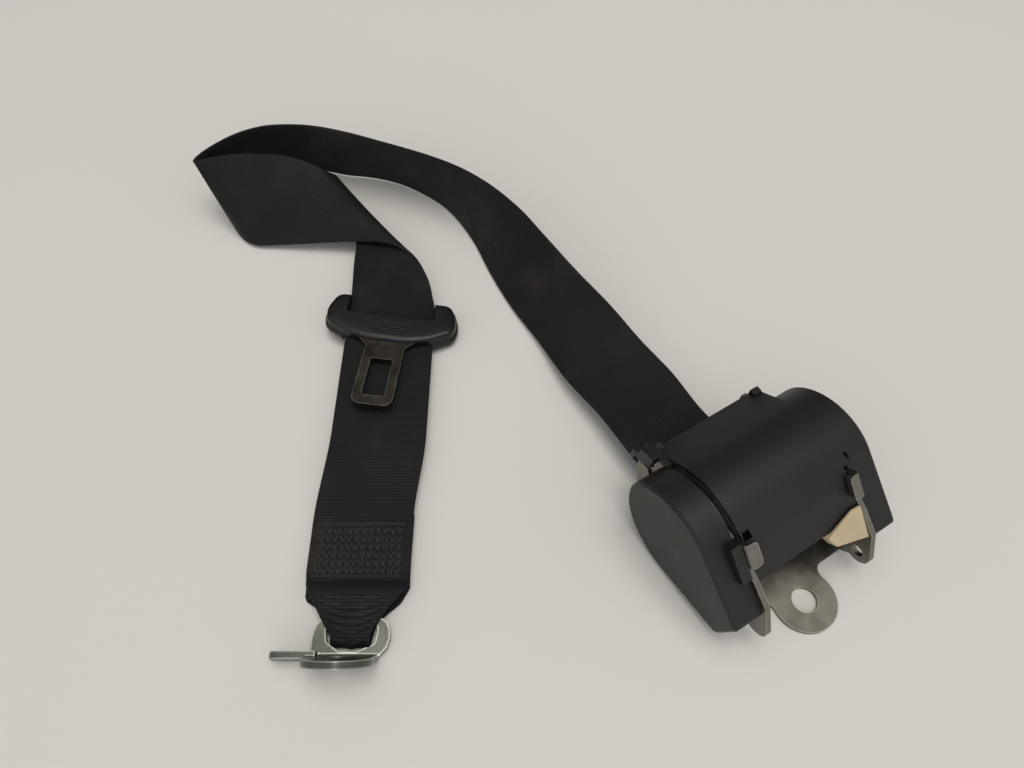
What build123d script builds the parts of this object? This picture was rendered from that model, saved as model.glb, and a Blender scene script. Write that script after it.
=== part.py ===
from build123d import *
from math import acos, atan2, cos, hypot, pi, radians, sin, sqrt, tan
import os

# Three-point seat belt taken off its car: emergency-locking retractor, one strap of webbing
# with a sliding tongue, and a lap anchor plate. Millimetres, +Z up.
# Origin: centre of the retractor's bolt hole on the back face of its frame, which lies flat.
# +X runs along the spool's axis, from the spring cover to the mechanism cover.
# +Y points the way the webbing leaves the retractor.

# Driving dimensions: retractor frame
STEEL_T = 2.5            # sheet steel of the frame
BACK_START = 9.0         # where the wide back plate begins, from the bolt hole
BACK_END = 80.0          # front edge of the back plate
BOLT_HOLE_R = 5.75
TAB_R = 14.4             # round end of the mounting tab
EAR_R = 6.5              # round ear at the rear of each side plate
EAR_HOLE_R = 3.0
AXIS_Y = 48.0            # spool axis
AXIS_Z = 30.0
SIDE_TOP_R = 22.6        # top of the side plates, about the spool axis
LUG_LONG = 11.0          # bent lugs that hook over the guard
LUG_WIDE = 5.8
LUG_RISE = 1.2           # lugs stand this far off the guard
GLAND_HOLE_R = 3.2       # window in the front lug of each side plate

# Driving dimensions: plastic covers
COVER_WALL = 2.0
GUARD_R = 28.5           # guard skin, outside radius about the spool axis
GUARD_WALL = 2.0
SPRING_COVER_R = 27.5
SPRING_COVER_ROOM = 4.4  # inside the spring cover, beside the spring
MECH_COVER_R = 28.2
MECH_COVER_DEEP = 14.6
COVER_EDGE = 1.3         # bevel of the covers' outer edges
GUIDE_R = 3.4            # round lip that the webbing runs over
GUIDE_LONG = 16.0
GUIDE_HIGH = 3.7
HOOD_BACK = 5.6          # the guard's hood starts this far in front of its crisp edge
GUARD_RIB_LONG = 24.0    # ribs inside the guard
GUARD_RIB_IN = 9.0       # from the guard's ends to the ribs
CHEEK_HIGH = 1.4         # cheek of the spring cover, over the guard's rear band
CHEEK_LONG = 17.0
CHEEK_WIDE = 5.0
PEG_R = 2.0              # pegs that hold the covers in the side plates

# Driving dimensions: spool and shaft
SHAFT_R = 4.0
BUSH_WALL = 2.2
SPOOL_CORE_R = 10.0
FLANGE_R = 25.8
FLANGE_T = 1.8
REEL_ROOM = 1.5          # the reel is this much wider than the webbing
SPRING_SIDE_GAP = 1.2    # between the reel and the side plate at the spring
LOCK_SIDE_GAP = 1.7      # between the ratchet and the other side plate
COIL_R = 25.0            # webbing wound on the reel
RUN = 0.3                # running clearance between pieces that turn past each other
FIT = 0.05               # radial clearance of shafts in holes

# Driving dimensions: locking mechanism
RATCHET_R = 21.5
RATCHET_DEEP = 3.0
RATCHET_TEETH = 16
RATCHET_T = 2.5
RATCHET_TURN = 188.0     # angle of one tooth, so that a gap faces the pawl
PAWL_PIN_R = 2.5
PAWL_ROUND = 5.0
LOCK_GEAR_R = 19.5
LOCK_GEAR_TEETH = 36
LOCK_GEAR_T = 3.0
DISC_R = 14.0
DISC_T = 3.0
BALL_R = 4.5
SENSOR_W = 13.0
LEVER_T = 1.6

# Driving dimensions: return spring
SPRING_T = 0.5
SPRING_W = 8.0
SPRING_TURNS = 5
SPRING_END_R = 15.6
ARBOR_R = 6.5

# Driving dimensions: webbing
STRAP_W = 46.5
STRAP_T = 1.2
STITCH_LONG = 22.0
STITCH_EDGE = 3.75       # from the stitches to each edge of the strap
RULED_W = 46.5           # width that the rulings below are drawn at

# Driving dimensions: tongue
GRIP_SIDE = 10.6         # grip outside its slot, at each side
TONGUE_DEEP = 26.5
GRIP_ABOVE = 6.4         # top of the grip above the middle of the strap
GRIP_BELOW = 5.2
TONGUE_SKEW = 5.4        # degrees that the tongue is turned on the strap
SLOT_ROOM = 5.1          # the slot is this much wider than the webbing
SLIT = 0.35              # gap between the strap and the bars of the grip
BAR_DEEP = 8.5           # rear bar, under the strap
SLOT_DEEP = 3.5          # opening between the two bars
TONGUE_PLATE_T = 2.6
BLADE_W = 20.4
BLADE_LONG = 44.2        # blade in front of the grip
BLADE_TILT = 6.0         # degrees that the blade rises
WINDOW_W = 11.5
WINDOW_LONG = 24.0
WINDOW_START = 14.5      # from the grip to the window
NECK_FLARE = 32.0

# Driving dimensions: anchor plate
ANCHOR_T = 3.2
RING_W = 33.6
ANCHOR_BAR = 4.0
ANCHOR_SLOT_W = 21.6
ANCHOR_SLOT_LONG = 11.5
EYE_R = 14.3
EYE_HOLE_R = 5.75
EYE_REACH = 15.7         # bend line to the centre of the bolt eye
BEND_UP = 75.0           # degrees between the slotted part and the eye
PRONG_LONG = 16.0
PRONG_LEAN = 13.0        # degrees that the prong leans off the eye
EYE_SHIFT = 2.0          # the eye sits off the middle of the ring
PRONG_WIDE = 8.5

# How the belt lies: table axes are turned from the retractor's axes
LAY_TURN = 32.0
HOLE_IN_LAY = (129.6, -115.5)

NECK_W = 2 * TAB_R - 0.8
SPRING_COVER_DEEP = SPRING_W + SPRING_COVER_ROOM + COVER_WALL
REEL_W = STRAP_W + REEL_ROOM
INNER_HALF = (SPRING_SIDE_GAP + REEL_W + 2 * FLANGE_T + RATCHET_T + LOCK_SIDE_GAP) / 2
FRAME_HALF = INNER_HALF + STEEL_T
FRAME_W = 2 * FRAME_HALF
REEL_LEFT = -INNER_HALF + SPRING_SIDE_GAP + FLANGE_T
REEL_RIGHT = REEL_LEFT + REEL_W
SPOOL_SHIFT = (REEL_LEFT + REEL_RIGHT) / 2
TONGUE_SLOT_W = STRAP_W + SLOT_ROOM
TONGUE_W = TONGUE_SLOT_W + 2 * GRIP_SIDE
THROUGH = 4 * FRAME_W    # longer than any piece that is cut through
AXIS = (AXIS_Y, AXIS_Z)


# Small helpers
def across(face, x_low, x_high):
    """A solid from an outline drawn in (y, z), between two places along the spool axis."""
    return extrude(Plane.YZ.offset(x_low) * face, amount=x_high - x_low)


def outline(*points):
    """A face inside straight edges."""
    return make_face(Polyline(*points, close=True))


def rounded(face, radius, *near):
    """Rounds the corners of a face that lie nearest to the given points."""
    corners = [min(face.vertices(), key=lambda v: (Vector(v) - Vector(*p)).length) for p in near]
    return fillet(corners, radius)


def disc(radius, centre=AXIS):
    return Pos(*centre) * Circle(radius)


def rod(radius, centre, x_low, x_high):
    """A round bar along the spool axis."""
    return across(disc(radius, centre), x_low, x_high)


def tangent_point(centre, radius, point, upper):
    """Where the tangent from a point touches a circle, above or below."""
    dy, dz = point[0] - centre[0], point[1] - centre[1]
    toward = atan2(dz, dy)
    swing = acos(radius / sqrt(dy * dy + dz * dz))
    choices = [toward - swing, toward + swing]
    spots = [(centre[0] + radius * cos(a), centre[1] + radius * sin(a)) for a in choices]
    return max(spots, key=lambda s: s[1]) if upper else min(spots, key=lambda s: s[1])


def lay(x, y, z):
    """A point given in table axes, in the retractor's axes."""
    turn = radians(LAY_TURN)
    dx, dy = x - HOLE_IN_LAY[0], y - HOLE_IN_LAY[1]
    return Vector(dx * cos(turn) + dy * sin(turn), dy * cos(turn) - dx * sin(turn), z)


def lay_way(x, y, z):
    """A direction given in table axes, in the retractor's axes."""
    return lay(x + HOLE_IN_LAY[0], y + HOLE_IN_LAY[1], z)


def save(shape, name):
    export_step(shape, f"parts/{name}.step")


# Retractor frame: one sheet folded to a U, with the mounting tab, ears and lugs
BAND_TOP = (AXIS_Y - GUARD_R + 4.5, AXIS_Z + GUARD_R - 8.5)      # crisp edge of the guard
BAND_LOW = (AXIS_Y - GUARD_R - 7.0, AXIS_Z + 8.0)                # lower edge of the guard's rear band
EAR = (3.2, 15.5)
GUARD_LIP = (AXIS_Y + GUARD_R + 5.5, AXIS_Z + 11.0)
LUG_WINDOW = (80.0, 36.0)


def side_outline(front_lug):
    """One side plate in (y, z): rear ear, shoulder behind the guard, round top, front end."""
    front = BACK_END + 6.0
    lug = [(front + 0.5, GUARD_LIP[1]), (GUARD_LIP[0] - 6, GUARD_LIP[1] + 2)]
    low_end = [(front, GUARD_LIP[1] - 8.5), (GUARD_LIP[0] - 1, GUARD_LIP[1] - 4), (GUARD_LIP[0] - 9, GUARD_LIP[1])]
    plate = outline(
        (EAR[0] + 1.5, EAR[1] - EAR_R + 0.2), (BACK_START + 4, 0), (BACK_END, 0), (front, AXIS_Z - 10),
        *(lug if front_lug else low_end), (AXIS_Y, BAND_TOP[1]), (BAND_TOP[0] + 2, BAND_TOP[1] - 2.5),
        (BAND_LOW[0] + 0.3, BAND_LOW[1] + 2), (BAND_LOW[0] - 9.5, BAND_LOW[1] - 6), (EAR[0] - EAR_R, EAR[1] + 2),
    )
    plate += disc(SIDE_TOP_R) + disc(EAR_R, EAR)
    if front_lug:
        plate = rounded(plate, 3.0, *[(*point, 0) for point in lug])
    return plate


def band_plane(x_mid, rise):
    """A plane on the guard's rear band: x along the spool axis, y up the band, z out of it."""
    dy, dz = BAND_LOW[0] - BAND_TOP[0], BAND_LOW[1] - BAND_TOP[1]
    length = sqrt(dy * dy + dz * dz)
    out = Vector(0, dz / length, -dy / length)
    mid = Vector(x_mid, (BAND_TOP[0] + BAND_LOW[0]) / 2, (BAND_TOP[1] + BAND_LOW[1]) / 2)
    return Plane(origin=mid + out * rise, x_dir=(1, 0, 0), z_dir=out)


def build_frame():
    tab = Circle(TAB_R) + Pos(0, BACK_START / 2) * Rectangle(NECK_W, BACK_START)
    back = tab + Pos(0, (BACK_START + BACK_END) / 2) * Rectangle(FRAME_W, BACK_END - BACK_START)
    back = rounded(back, 4.2, (NECK_W / 2, BACK_START, 0), (-NECK_W / 2, BACK_START, 0))
    frame = extrude(back, amount=STEEL_T)
    left = side_outline(True) - disc(GLAND_HOLE_R, LUG_WINDOW)
    right = side_outline(False) - disc(EAR_HOLE_R, EAR) - disc(PAWL_PIN_R, PAWL_PIN)
    for plate, side in ((left, -1), (right, 1)):
        plate -= disc(SHAFT_R + BUSH_WALL) + disc(TIE_R, TIE)
        for peg in cover_pegs():
            plate -= disc(PEG_R + FIT, peg)
        edges = sorted((side * INNER_HALF, side * FRAME_HALF))
        frame += across(plate, *edges)
    bends = frame.edges().filter_by(Axis.Y).filter_by(
        lambda e: abs(abs(e.center().X) - FRAME_HALF) < 0.01 and abs(e.center().Z) < 0.01
    )
    frame = fillet(bends, STEEL_T)
    top_z = LUG_RISE + STEEL_T
    for side in (-1, 1):
        hook = Pos(FRAME_HALF - LUG_WIDE / 2, 0, LUG_RISE + STEEL_T / 2) * Box(LUG_WIDE, LUG_LONG, STEEL_T)
        hook += Pos(INNER_HALF + STEEL_T / 2, 0, top_z / 2 - 3) * Box(STEEL_T, LUG_LONG, top_z + 6)
        bend = hook.edges().filter_by(Axis.Y).filter_by(
            lambda e: e.center().Z > top_z - 0.01 and e.center().X > FRAME_HALF - 0.01
        )
        hook = fillet(bend, STEEL_T * 0.9)
        tips = hook.edges().filter_by(Axis.Z).filter_by(
            lambda e: e.center().X < FRAME_HALF - LUG_WIDE + 0.01 and e.center().Z > LUG_RISE
        )
        hook = fillet(tips, 2.0)
        hook = Pos(0, LUG_UP, 0) * hook
        if side < 0:
            hook = mirror(hook, about=Plane.YZ)
        frame += band_plane(0, 0) * hook
    return frame - Cylinder(BOLT_HOLE_R, 6 * STEEL_T)


def cover_pegs():
    """Centres of the pegs that hold both covers to the side plates."""
    reach = 23.5
    round_axis = [(AXIS_Y + reach * cos(radians(a)), AXIS_Z + reach * sin(radians(a))) for a in (15, 300)]
    return round_axis + [(22.5, 31.0)]


LUG_UP = 6.5             # lugs sit this far above the middle of the band
PAWL_PIN = (21.0, 10.0)
TIE = (81.0, 27.0)
TIE_R = 3.0
TIE_HEAD = 1.2


def build_tie_bar():
    bar = rod(TIE_R, TIE, -FRAME_HALF, FRAME_HALF)
    for side in (-1, 1):
        edges = sorted((side * FRAME_HALF, side * (FRAME_HALF + TIE_HEAD)))
        bar += rod(TIE_R + 1.3, TIE, *edges)
    return bar


# Guard: one curved plastic skin between the side plates
def guard_face(inset):
    """Area under the guard's skin in (y, z), shrunk by a wall."""
    radius = GUARD_R - inset
    top = (BAND_TOP[0] + inset * 0.95, BAND_TOP[1] - inset * 0.75)
    low = (BAND_LOW[0] + inset * 1.25, BAND_LOW[1] - 1.0)
    lip = (GUARD_LIP[0] - inset, GUARD_LIP[1] - inset * 0.8)
    front = tangent_point(AXIS, radius, lip, True)
    rear = tangent_point(AXIS, radius, top, True)
    skin = outline(low, top, rear, AXIS, front, lip, (lip[0], 20), (AXIS_Y, 12), (low[0], 20))
    return skin + disc(radius)


def build_guard():
    """The skin; past the lock-side plate it reaches over the steel to the mechanism cover."""
    width = INNER_HALF - RUN
    front_cut = AXIS_Y + 12
    shell = guard_face(0) - guard_face(GUARD_WALL)
    shell -= outline((-5, -9), (2 * AXIS_Y, -9), (2 * AXIS_Y, TIE[1] + TIE_R + RUN), (front_cut, AXIS_Z + 2),
                     (front_cut, BAND_LOW[1] - RUN), (-5, BAND_LOW[1] - RUN))
    guard = across(shell, -width, width)
    hood = shell - offset(side_outline(False), RUN)
    rear = BAND_TOP[0] + HOOD_BACK
    hood &= outline((rear, AXIS_Z), (2 * AXIS_Y, AXIS_Z), (2 * AXIS_Y, 3 * AXIS_Z), (rear, 3 * AXIS_Z))
    guard += across(hood, width, FRAME_HALF - FIT)
    notch = Pos(-(width - 2.4), BAND_TOP[0] + 4.2, BAND_TOP[1] + 1.0) * Box(4.2, 3.4, 10.0)
    guard -= notch
    nub = Pos(FRAME_HALF - 2.3, GUARD_LIP[0] - 1.6, GUARD_LIP[1] + 1.2) * Box(4.4, 3.2, 3.6)
    guard += nub
    near_lug = Pos(-(INNER_HALF - 2.2), GUARD_LIP[0] - 0.6, GUARD_LIP[1] + 0.6) * Box(3.8, 3.2, 2.4)
    guard += near_lug
    for side in (-1, 1):
        rib = rod(GUARD_R - GUARD_WALL + 0.2, AXIS, 0, 1.6) - rod(FLANGE_R + RUN, AXIS, -1, 3)
        rib &= Pos(0, AXIS_Y, AXIS_Z + GUARD_R - 3.5) * Box(THROUGH, GUARD_RIB_LONG, GUARD_R)
        guard += Pos(side * (width - GUARD_RIB_IN), 0, 0) * rib
    return guard


# Webbing guide: a round plastic lip across the front of the back plate
def build_webbing_guide():
    width = INNER_HALF - RUN
    front, low = BACK_END + 2.0, STEEL_T
    profile = disc(GUIDE_R, (front + 0.2, low + 1.1))
    profile += outline((front - GUIDE_LONG, low), (front, low), (front, low + GUIDE_HIGH),
                       (front - GUIDE_LONG / 2, low + GUIDE_HIGH - 2.0))
    lip = across(profile, -width, width)
    lip -= Pos(0, BACK_END / 2, 0) * Box(FRAME_W, BACK_END, 2 * STEEL_T)
    return lip


# Covers: a round pan with a tapered tail, open towards the side plate
TAIL_TOP = (3.0, 28.0)
TAIL_LOW = (9.0, 7.5)


def cover_face(radius, inset=0.0):
    """Outline of a cover in (y, z): a circle about the spool axis with a tapered tail."""
    top = (TAIL_TOP[0] + inset * 1.1, TAIL_TOP[1] - inset * 0.6)
    low = (TAIL_LOW[0] + inset * 0.9, TAIL_LOW[1] + inset * 1.1)
    r = radius - inset
    upper = tangent_point(AXIS, r, top, True)
    lower = tangent_point(AXIS, r, low, False)
    return disc(r) + outline(top, upper, AXIS, lower, low)


def build_cover(radius, deep, side):
    solid_face = cover_face(radius)
    solid_face = rounded(solid_face, 2.5, (*TAIL_TOP, 0), (*TAIL_LOW, 0))
    pan = across(solid_face, 0, deep)
    outer = pan.faces().sort_by(Axis.X)[-1]
    pan = chamfer(outer.edges(), COVER_EDGE)
    pan -= across(cover_face(radius, COVER_WALL), -1, deep - COVER_WALL)
    for peg in cover_pegs():
        boss = rod(PEG_R + 1.5, peg, RUN / 3, deep - COVER_WALL + 0.2)
        pan += boss & across(cover_face(radius, COVER_WALL - 0.2), -1, deep)
        pan += rod(PEG_R, peg, -STEEL_T + 0.2, 1.0)
    pan = Pos(FRAME_HALF, 0, 0) * pan
    return pan if side > 0 else mirror(pan, about=Plane.YZ)


def build_spring_cover():
    """Its cheek beside the rear lug hides the edge of the side plate."""
    cover = build_cover(SPRING_COVER_R, SPRING_COVER_DEEP, -1)
    low = SPRING_COVER_R - GUARD_R - 2 * COVER_WALL
    cheek = Pos(-FRAME_HALF - 0.1 - CHEEK_WIDE / 2, 4.5, (CHEEK_HIGH + low) / 2)
    cheek *= Box(CHEEK_WIDE, CHEEK_LONG, CHEEK_HIGH - low)
    return cover + band_plane(0, 0) * cheek


def build_mechanism_cover():
    """The deeper detail is inside; its rim has one small notch beside the guard."""
    cover = build_cover(MECH_COVER_R, MECH_COVER_DEEP, 1)
    place = radians(123.5)
    notch = Pos(FRAME_HALF + 1.1, AXIS_Y + MECH_COVER_R * cos(place), AXIS_Z + MECH_COVER_R * sin(place))
    return cover - notch * Box(2.4, 3.4, 2.6)


def build_spring_plate():
    """Thin base that keeps the return spring off the steel."""
    plate = rod(SPRING_COVER_R - COVER_WALL - 0.5, AXIS, -FRAME_HALF - 1.3, -FRAME_HALF - 0.1)
    plate -= rod(SHAFT_R + BUSH_WALL + 2.3, AXIS, -FRAME_HALF - 3, -FRAME_HALF + 1)
    for peg in cover_pegs():
        plate -= rod(PEG_R + 1.9, peg, -FRAME_HALF - 3, -FRAME_HALF + 1)
    return plate


SPRING_LOW = -FRAME_HALF - 2.0 - SPRING_W


def build_return_spring():
    """Flat spiral from the arbor to the pegs of the cover."""
    steps = 12
    start, end = ARBOR_R + SPRING_T / 2 + 0.2, SPRING_END_R
    inner, outer = [], []
    for k in range(SPRING_TURNS * steps + 1):
        a = 2 * pi * k / steps
        r = start + (end - start) * k / (SPRING_TURNS * steps)
        inner.append((AXIS_Y + (r - SPRING_T / 2) * cos(a), AXIS_Z + (r - SPRING_T / 2) * sin(a)))
        outer.append((AXIS_Y + (r + SPRING_T / 2) * cos(a), AXIS_Z + (r + SPRING_T / 2) * sin(a)))
    return across(outline(*inner, *reversed(outer)), SPRING_LOW, SPRING_LOW + SPRING_W)


def build_spring_arbor():
    arbor = rod(ARBOR_R, AXIS, SPRING_LOW - 0.8, -FRAME_HALF - 1.0)
    return arbor - rod(SHAFT_R, AXIS, -THROUGH, 0)


# Spool: reel with two flanges, on a steel shaft in nylon bushes
def build_spool():
    reel = rod(SPOOL_CORE_R, AXIS, REEL_LEFT - FLANGE_T, REEL_RIGHT + FLANGE_T)
    for low in (REEL_LEFT - FLANGE_T, REEL_RIGHT):
        reel += rod(FLANGE_R, AXIS, low, low + FLANGE_T)
    reel -= rod(SHAFT_R, AXIS, -THROUGH, THROUGH)
    reel -= rod(WEB_PIN_R, WEB_PIN, -THROUGH, THROUGH)
    return reel


WEB_PIN = (AXIS_Y + 7.0, AXIS_Z)
WEB_PIN_R = 1.5


def build_wound_webbing():
    coil = rod(COIL_R, AXIS, SPOOL_SHIFT - STRAP_W / 2, SPOOL_SHIFT + STRAP_W / 2)
    return coil - rod(SPOOL_CORE_R, AXIS, -THROUGH, THROUGH)


def build_shaft():
    left, right = SPRING_LOW - 1.6, FRAME_HALF + MECH_COVER_DEEP - COVER_WALL - 1.0
    shaft = rod(SHAFT_R, AXIS, left, right)
    return chamfer(shaft.edges().filter_by(GeomType.CIRCLE), 0.6)


def build_bush(side):
    low, high = sorted((side * (INNER_HALF + 0.2), side * (FRAME_HALF + 0.8)))
    bush = rod(SHAFT_R + BUSH_WALL, AXIS, low, high)
    low, high = sorted((side * FRAME_HALF, side * (FRAME_HALF + 0.8)))
    bush += rod(SHAFT_R + BUSH_WALL + 1.8, AXIS, low, high)
    return bush - rod(SHAFT_R + FIT, AXIS, -THROUGH, THROUGH)


# Lock: ratchet wheel on the reel, pawl in the frame, sensor behind the cover
def tooth_ring(outer, deep, teeth, turn=0.0):
    """Saw-tooth outline about the spool axis; the steep side of each tooth stops the reel."""
    points = []
    for k in range(teeth):
        tip = 2 * pi * k / teeth + radians(turn)
        root = tip + 0.12 * 2 * pi / teeth
        points.append((AXIS_Y + outer * cos(tip), AXIS_Z + outer * sin(tip)))
        points.append((AXIS_Y + (outer - deep) * cos(root), AXIS_Z + (outer - deep) * sin(root)))
    return outline(*points)


RATCHET_LOW = REEL_RIGHT + FLANGE_T
PAWL_LOW = RATCHET_LOW + RUN


def build_ratchet():
    teeth = tooth_ring(RATCHET_R, RATCHET_DEEP, RATCHET_TEETH, RATCHET_TURN)
    wheel = across(teeth, RATCHET_LOW, RATCHET_LOW + RATCHET_T)
    return wheel - rod(SHAFT_R, AXIS, 0, THROUGH)


PAWL_TIP = (AXIS_Y + (RATCHET_R + 0.9) * cos(radians(190)),
            AXIS_Z + (RATCHET_R + 0.9) * sin(radians(190)))


def build_pawl():
    """Steel pawl that swings up into the ratchet."""
    reach = Vector(PAWL_TIP[0] - PAWL_PIN[0], PAWL_TIP[1] - PAWL_PIN[1])
    way = reach.normalized()
    side = Vector(-way.Y, way.X)
    root_left = Vector(*PAWL_PIN) + side * (PAWL_ROUND - 0.4)
    root_right = Vector(*PAWL_PIN) - side * (PAWL_ROUND - 0.4)
    tip = Vector(*PAWL_TIP)
    back = tip + side * 4.0 - way * 2.0
    arm = outline(*[(p.X, p.Y) for p in (root_left, back, tip + side * 1.2, tip, root_right)])
    pawl = across(arm + disc(PAWL_ROUND, PAWL_PIN), PAWL_LOW, PAWL_LOW + RATCHET_T - 0.6)
    return pawl - rod(PAWL_PIN_R + FIT, PAWL_PIN, 0, THROUGH)


def build_pawl_pin():
    pin = rod(PAWL_PIN_R, PAWL_PIN, PAWL_LOW - 1.2, FRAME_HALF)
    return pin + rod(PAWL_PIN_R + 1.3, PAWL_PIN, PAWL_LOW - 1.2, PAWL_LOW - 0.2)


def build_pawl_block():
    """Cream nylon wedge at the lock side: its head lies on the guard's band, its foot hangs below."""
    edge = INNER_HALF - FIT
    low = -hypot(BAND_TOP[0] - BAND_LOW[0], BAND_TOP[1] - BAND_LOW[1]) / 2
    wedge = outline((edge, low + 4.4), (edge - 5, low + 4.8), (edge - 20, low - 0.8), (edge - 17, low - 6.3),
                    (edge, low - 11.3))
    plane = band_plane(0, 0)
    block = extrude(plane * wedge, amount=1.4) + extrude(plane * wedge, amount=-4.0)
    block -= plane * (Pos(0, low - RUN + 10, -10 + RUN / 2) * Box(FRAME_W, 20, 20))
    return block - plane * (Pos(edge - 8, low - 10, -4) * Box(9, 10, 5))


GEAR_LOW = FRAME_HALF + 1.6


def build_lock_gear():
    gear = across(tooth_ring(LOCK_GEAR_R, 1.6, LOCK_GEAR_TEETH, 185.0), GEAR_LOW, GEAR_LOW + LOCK_GEAR_T)
    return gear - rod(SHAFT_R, AXIS, 0, THROUGH)


def build_inertia_disc():
    low = GEAR_LOW + LOCK_GEAR_T + 0.4
    return rod(DISC_R, AXIS, low, low + DISC_T) - rod(SHAFT_R, AXIS, 0, THROUGH)


SENSOR = (16.6, 16.6)
SENSOR_X = FRAME_HALF + 6.2
LEVER_PIN = (23.2, 11.0)
LEVER_PIN_R = 1.1


def build_sensor_cup():
    """Plastic cradle for the ball, with a cone that the ball rolls up when the car brakes."""
    low, high = SENSOR_X - SENSOR_W / 2 + 1.0, SENSOR_X + SENSOR_W / 2 - 1.2
    face = outline((11.6, 10.6), (26, 9.6), (26, 13.4), (20.2, 14), (20.2, 23.4), (8.4, 24))
    cup = across(face, low, high)
    deep = 0.6 * BALL_R
    seat = Pos(SENSOR_X, SENSOR[0], SENSOR[1] - 1.35 * deep) * Cone(0.8, BALL_R + RUN, deep)
    cup -= seat + Pos(SENSOR_X, SENSOR[0], SENSOR[1] - 0.85 * deep + 5) * Cylinder(BALL_R + RUN, 10)
    cup -= Pos(SENSOR_X, 24.4, 11.4) * Box(SENSOR_W - 6.4, 7.6, 12.0)
    return cup - rod(LEVER_PIN_R + FIT, LEVER_PIN, 0, THROUGH)


def build_sensor_ball():
    """A ball turned from a profile of six short flats, which keeps it light."""
    turns = [pi * k / 6 - pi / 2 for k in range(7)]
    profile = outline(*[(BALL_R * cos(a), BALL_R * sin(a)) for a in turns])
    return Pos(SENSOR_X, SENSOR[0], SENSOR[1]) * revolve(Plane.XZ * profile, Axis.Z)


def build_sensor_lever():
    arm = outline((22.2, 11), (24, 11), (23.4, 20.4), (27.2, 22.6), (26.6, 23.7), (21.7, 22.4))
    half = (SENSOR_W - 6.4) / 2 - 0.4
    lever = across(arm, SENSOR_X - half, SENSOR_X + half)
    lever += rod(LEVER_PIN_R + 0.9, LEVER_PIN, SENSOR_X - half, SENSOR_X + half)
    lever += rod(LEVER_PIN_R, LEVER_PIN, SENSOR_X - half - 1.2, SENSOR_X + half + 1.2)
    return lever


def build_exit_clip():
    """Small plastic clip beside the webbing, with a cap over the side plate's front edge."""
    left, right = -FRAME_HALF - 3.2, -FRAME_HALF - 0.1
    hook = outline((79.0, 39.5), (88.5, 37.5), (89.5, 31.0), (86.8, 29.6), (86.4, 34.4), (79.0, 35.6))
    y, z = GUARD_LIP
    web = outline((y - 5, 38.0), (y + 3, 38.0), (y + 2, z + 3), (y - 2, z + 4.2), (y - 5, z + 4.8))
    cap = outline((y - 12, z + 4.2), (y - 2, z + 2.3), (y + 2, z + 1.2), (y + 2, z + 3), (y - 2, z + 4.2),
                  (y - 12, z + 6.2))
    outer_cap = outline((y - 6, z + 1), (y + 2, z + 1), (y + 2, z + 3), (y - 2, z + 4.2), (y - 6, z + 5))
    clip = across(hook + web, left, right)
    clip += across(outer_cap, left, right)
    return clip + across(cap, right - 0.05, -FRAME_HALF + STEEL_T + 0.2)


# Webbing: one strap, given by rulings. Each is the inner edge and the outer edge of the strap
# at one place, in table axes, from the reel to the tongue and on to the stitches.
REEL_EXIT = COIL_R + RUN + STRAP_T / 2
LAP_Z = 8.0              # middle of the strap at the tongue, above the table
LAP_ROLL = 4.0           # degrees that the strap leans there
LAP_RISE = RULED_W / 2 * sin(radians(LAP_ROLL))
SHOULDER = [
    ((57.2, -51, 14.5), (95.2, -24.7, 12.5)),
    ((42.8, -27.3, 14), (81.9, -2.4, 14)),
    ((27.7, -3.9, 10), (67.1, 16.1, 17)),
    ((14.2, 24.6, 4), (50.9, 32.9, 26)),
    ((-1, 51.5, 1.6), (33.4, 49.8, 34)),
    ((-12.6, 75.9, 1.3), (17.4, 68.8, 39.5)),
    ((-22.3, 99.6, 1.3), (2.6, 88.3, 42)),
]
CREST = [
    SHOULDER[-1],
    ((-30.4, 114.5, 1.3), (-12.5, 103, 44)),
    ((-40.3, 126.8, 1.3), (-28.2, 114.6, 45)),
    ((-53, 137, 1.4), (-44.3, 122.6, 46)),
    ((-70, 147.8, 1.5), (-61, 129.4, 46.5)),
    ((-87.5, 154.8, 1.8), (-77.4, 136, 46.5)),
    ((-104, 158.6, 2), (-95.3, 143, 46.5)),
    ((-120, 161.5, 2), (-115.1, 148.6, 46.5)),
    ((-136.2, 163, 2), (-131, 150, 46.5)),
    ((-151.8, 162, 2), (-146, 148.6, 46.3)),
    ((-165, 156.5, 1.6), (-160, 143, 45.6)),
]
TURN = [
    CREST[-1],
    ((-173, 148, 1.4), (-170.6, 135.6, 44.5)),
    ((-175.2, 135.4, 1.3), (-177.2, 130, 43.5)),
    ((-171, 118.8, 1.3), (-181.3, 126.3, 42)),
    ((-160, 102, 1.6), (-180.6, 125.2, 41.3)),
    ((-152.5, 96.6, 2.5), (-170.6, 127.8, 42)),
]
FRONT = [
    TURN[-1],
    ((-140, 95.2, 4), (-156.3, 130.2, 42)),
    ((-126.2, 94, 6), (-143, 131.4, 41)),
    ((-112.8, 93, 8), (-131.2, 131.8, 39.4)),
    ((-100, 91.9, 10), (-121.7, 130.7, 37)),
    ((-86.8, 90.6, 11.5), (-112.9, 129.2, 33.5)),
    ((-73.7, 87.6, 12.8), (-107.2, 127.8, 29.5)),
    ((-64.2, 84.4, 13.8), (-105, 129, 25)),
]
FOLD = [
    FRONT[-1],
    ((-61, 83.2, 13.2), (-104.8, 132.4, 21)),
    ((-58.4, 81.6, 11.6), (-103.8, 132.6, 15)),
    ((-55.6, 78.6, 9.8), (-101.6, 127.6, 10.6)),
    ((-51.6, 72.4, 8.2), (-97, 114, 8.6)),
    ((-47.4, 63.4, 7), (-92.9, 96.5, 8.4)),
    ((-44.3, 53.4, 6.5), (-91, 76.4, 9)),
    ((-42.3, 42.6, LAP_Z - LAP_RISE), (-88.9, 52, LAP_Z + LAP_RISE)),
]
LAP_TOP = FOLD[-1]
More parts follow.
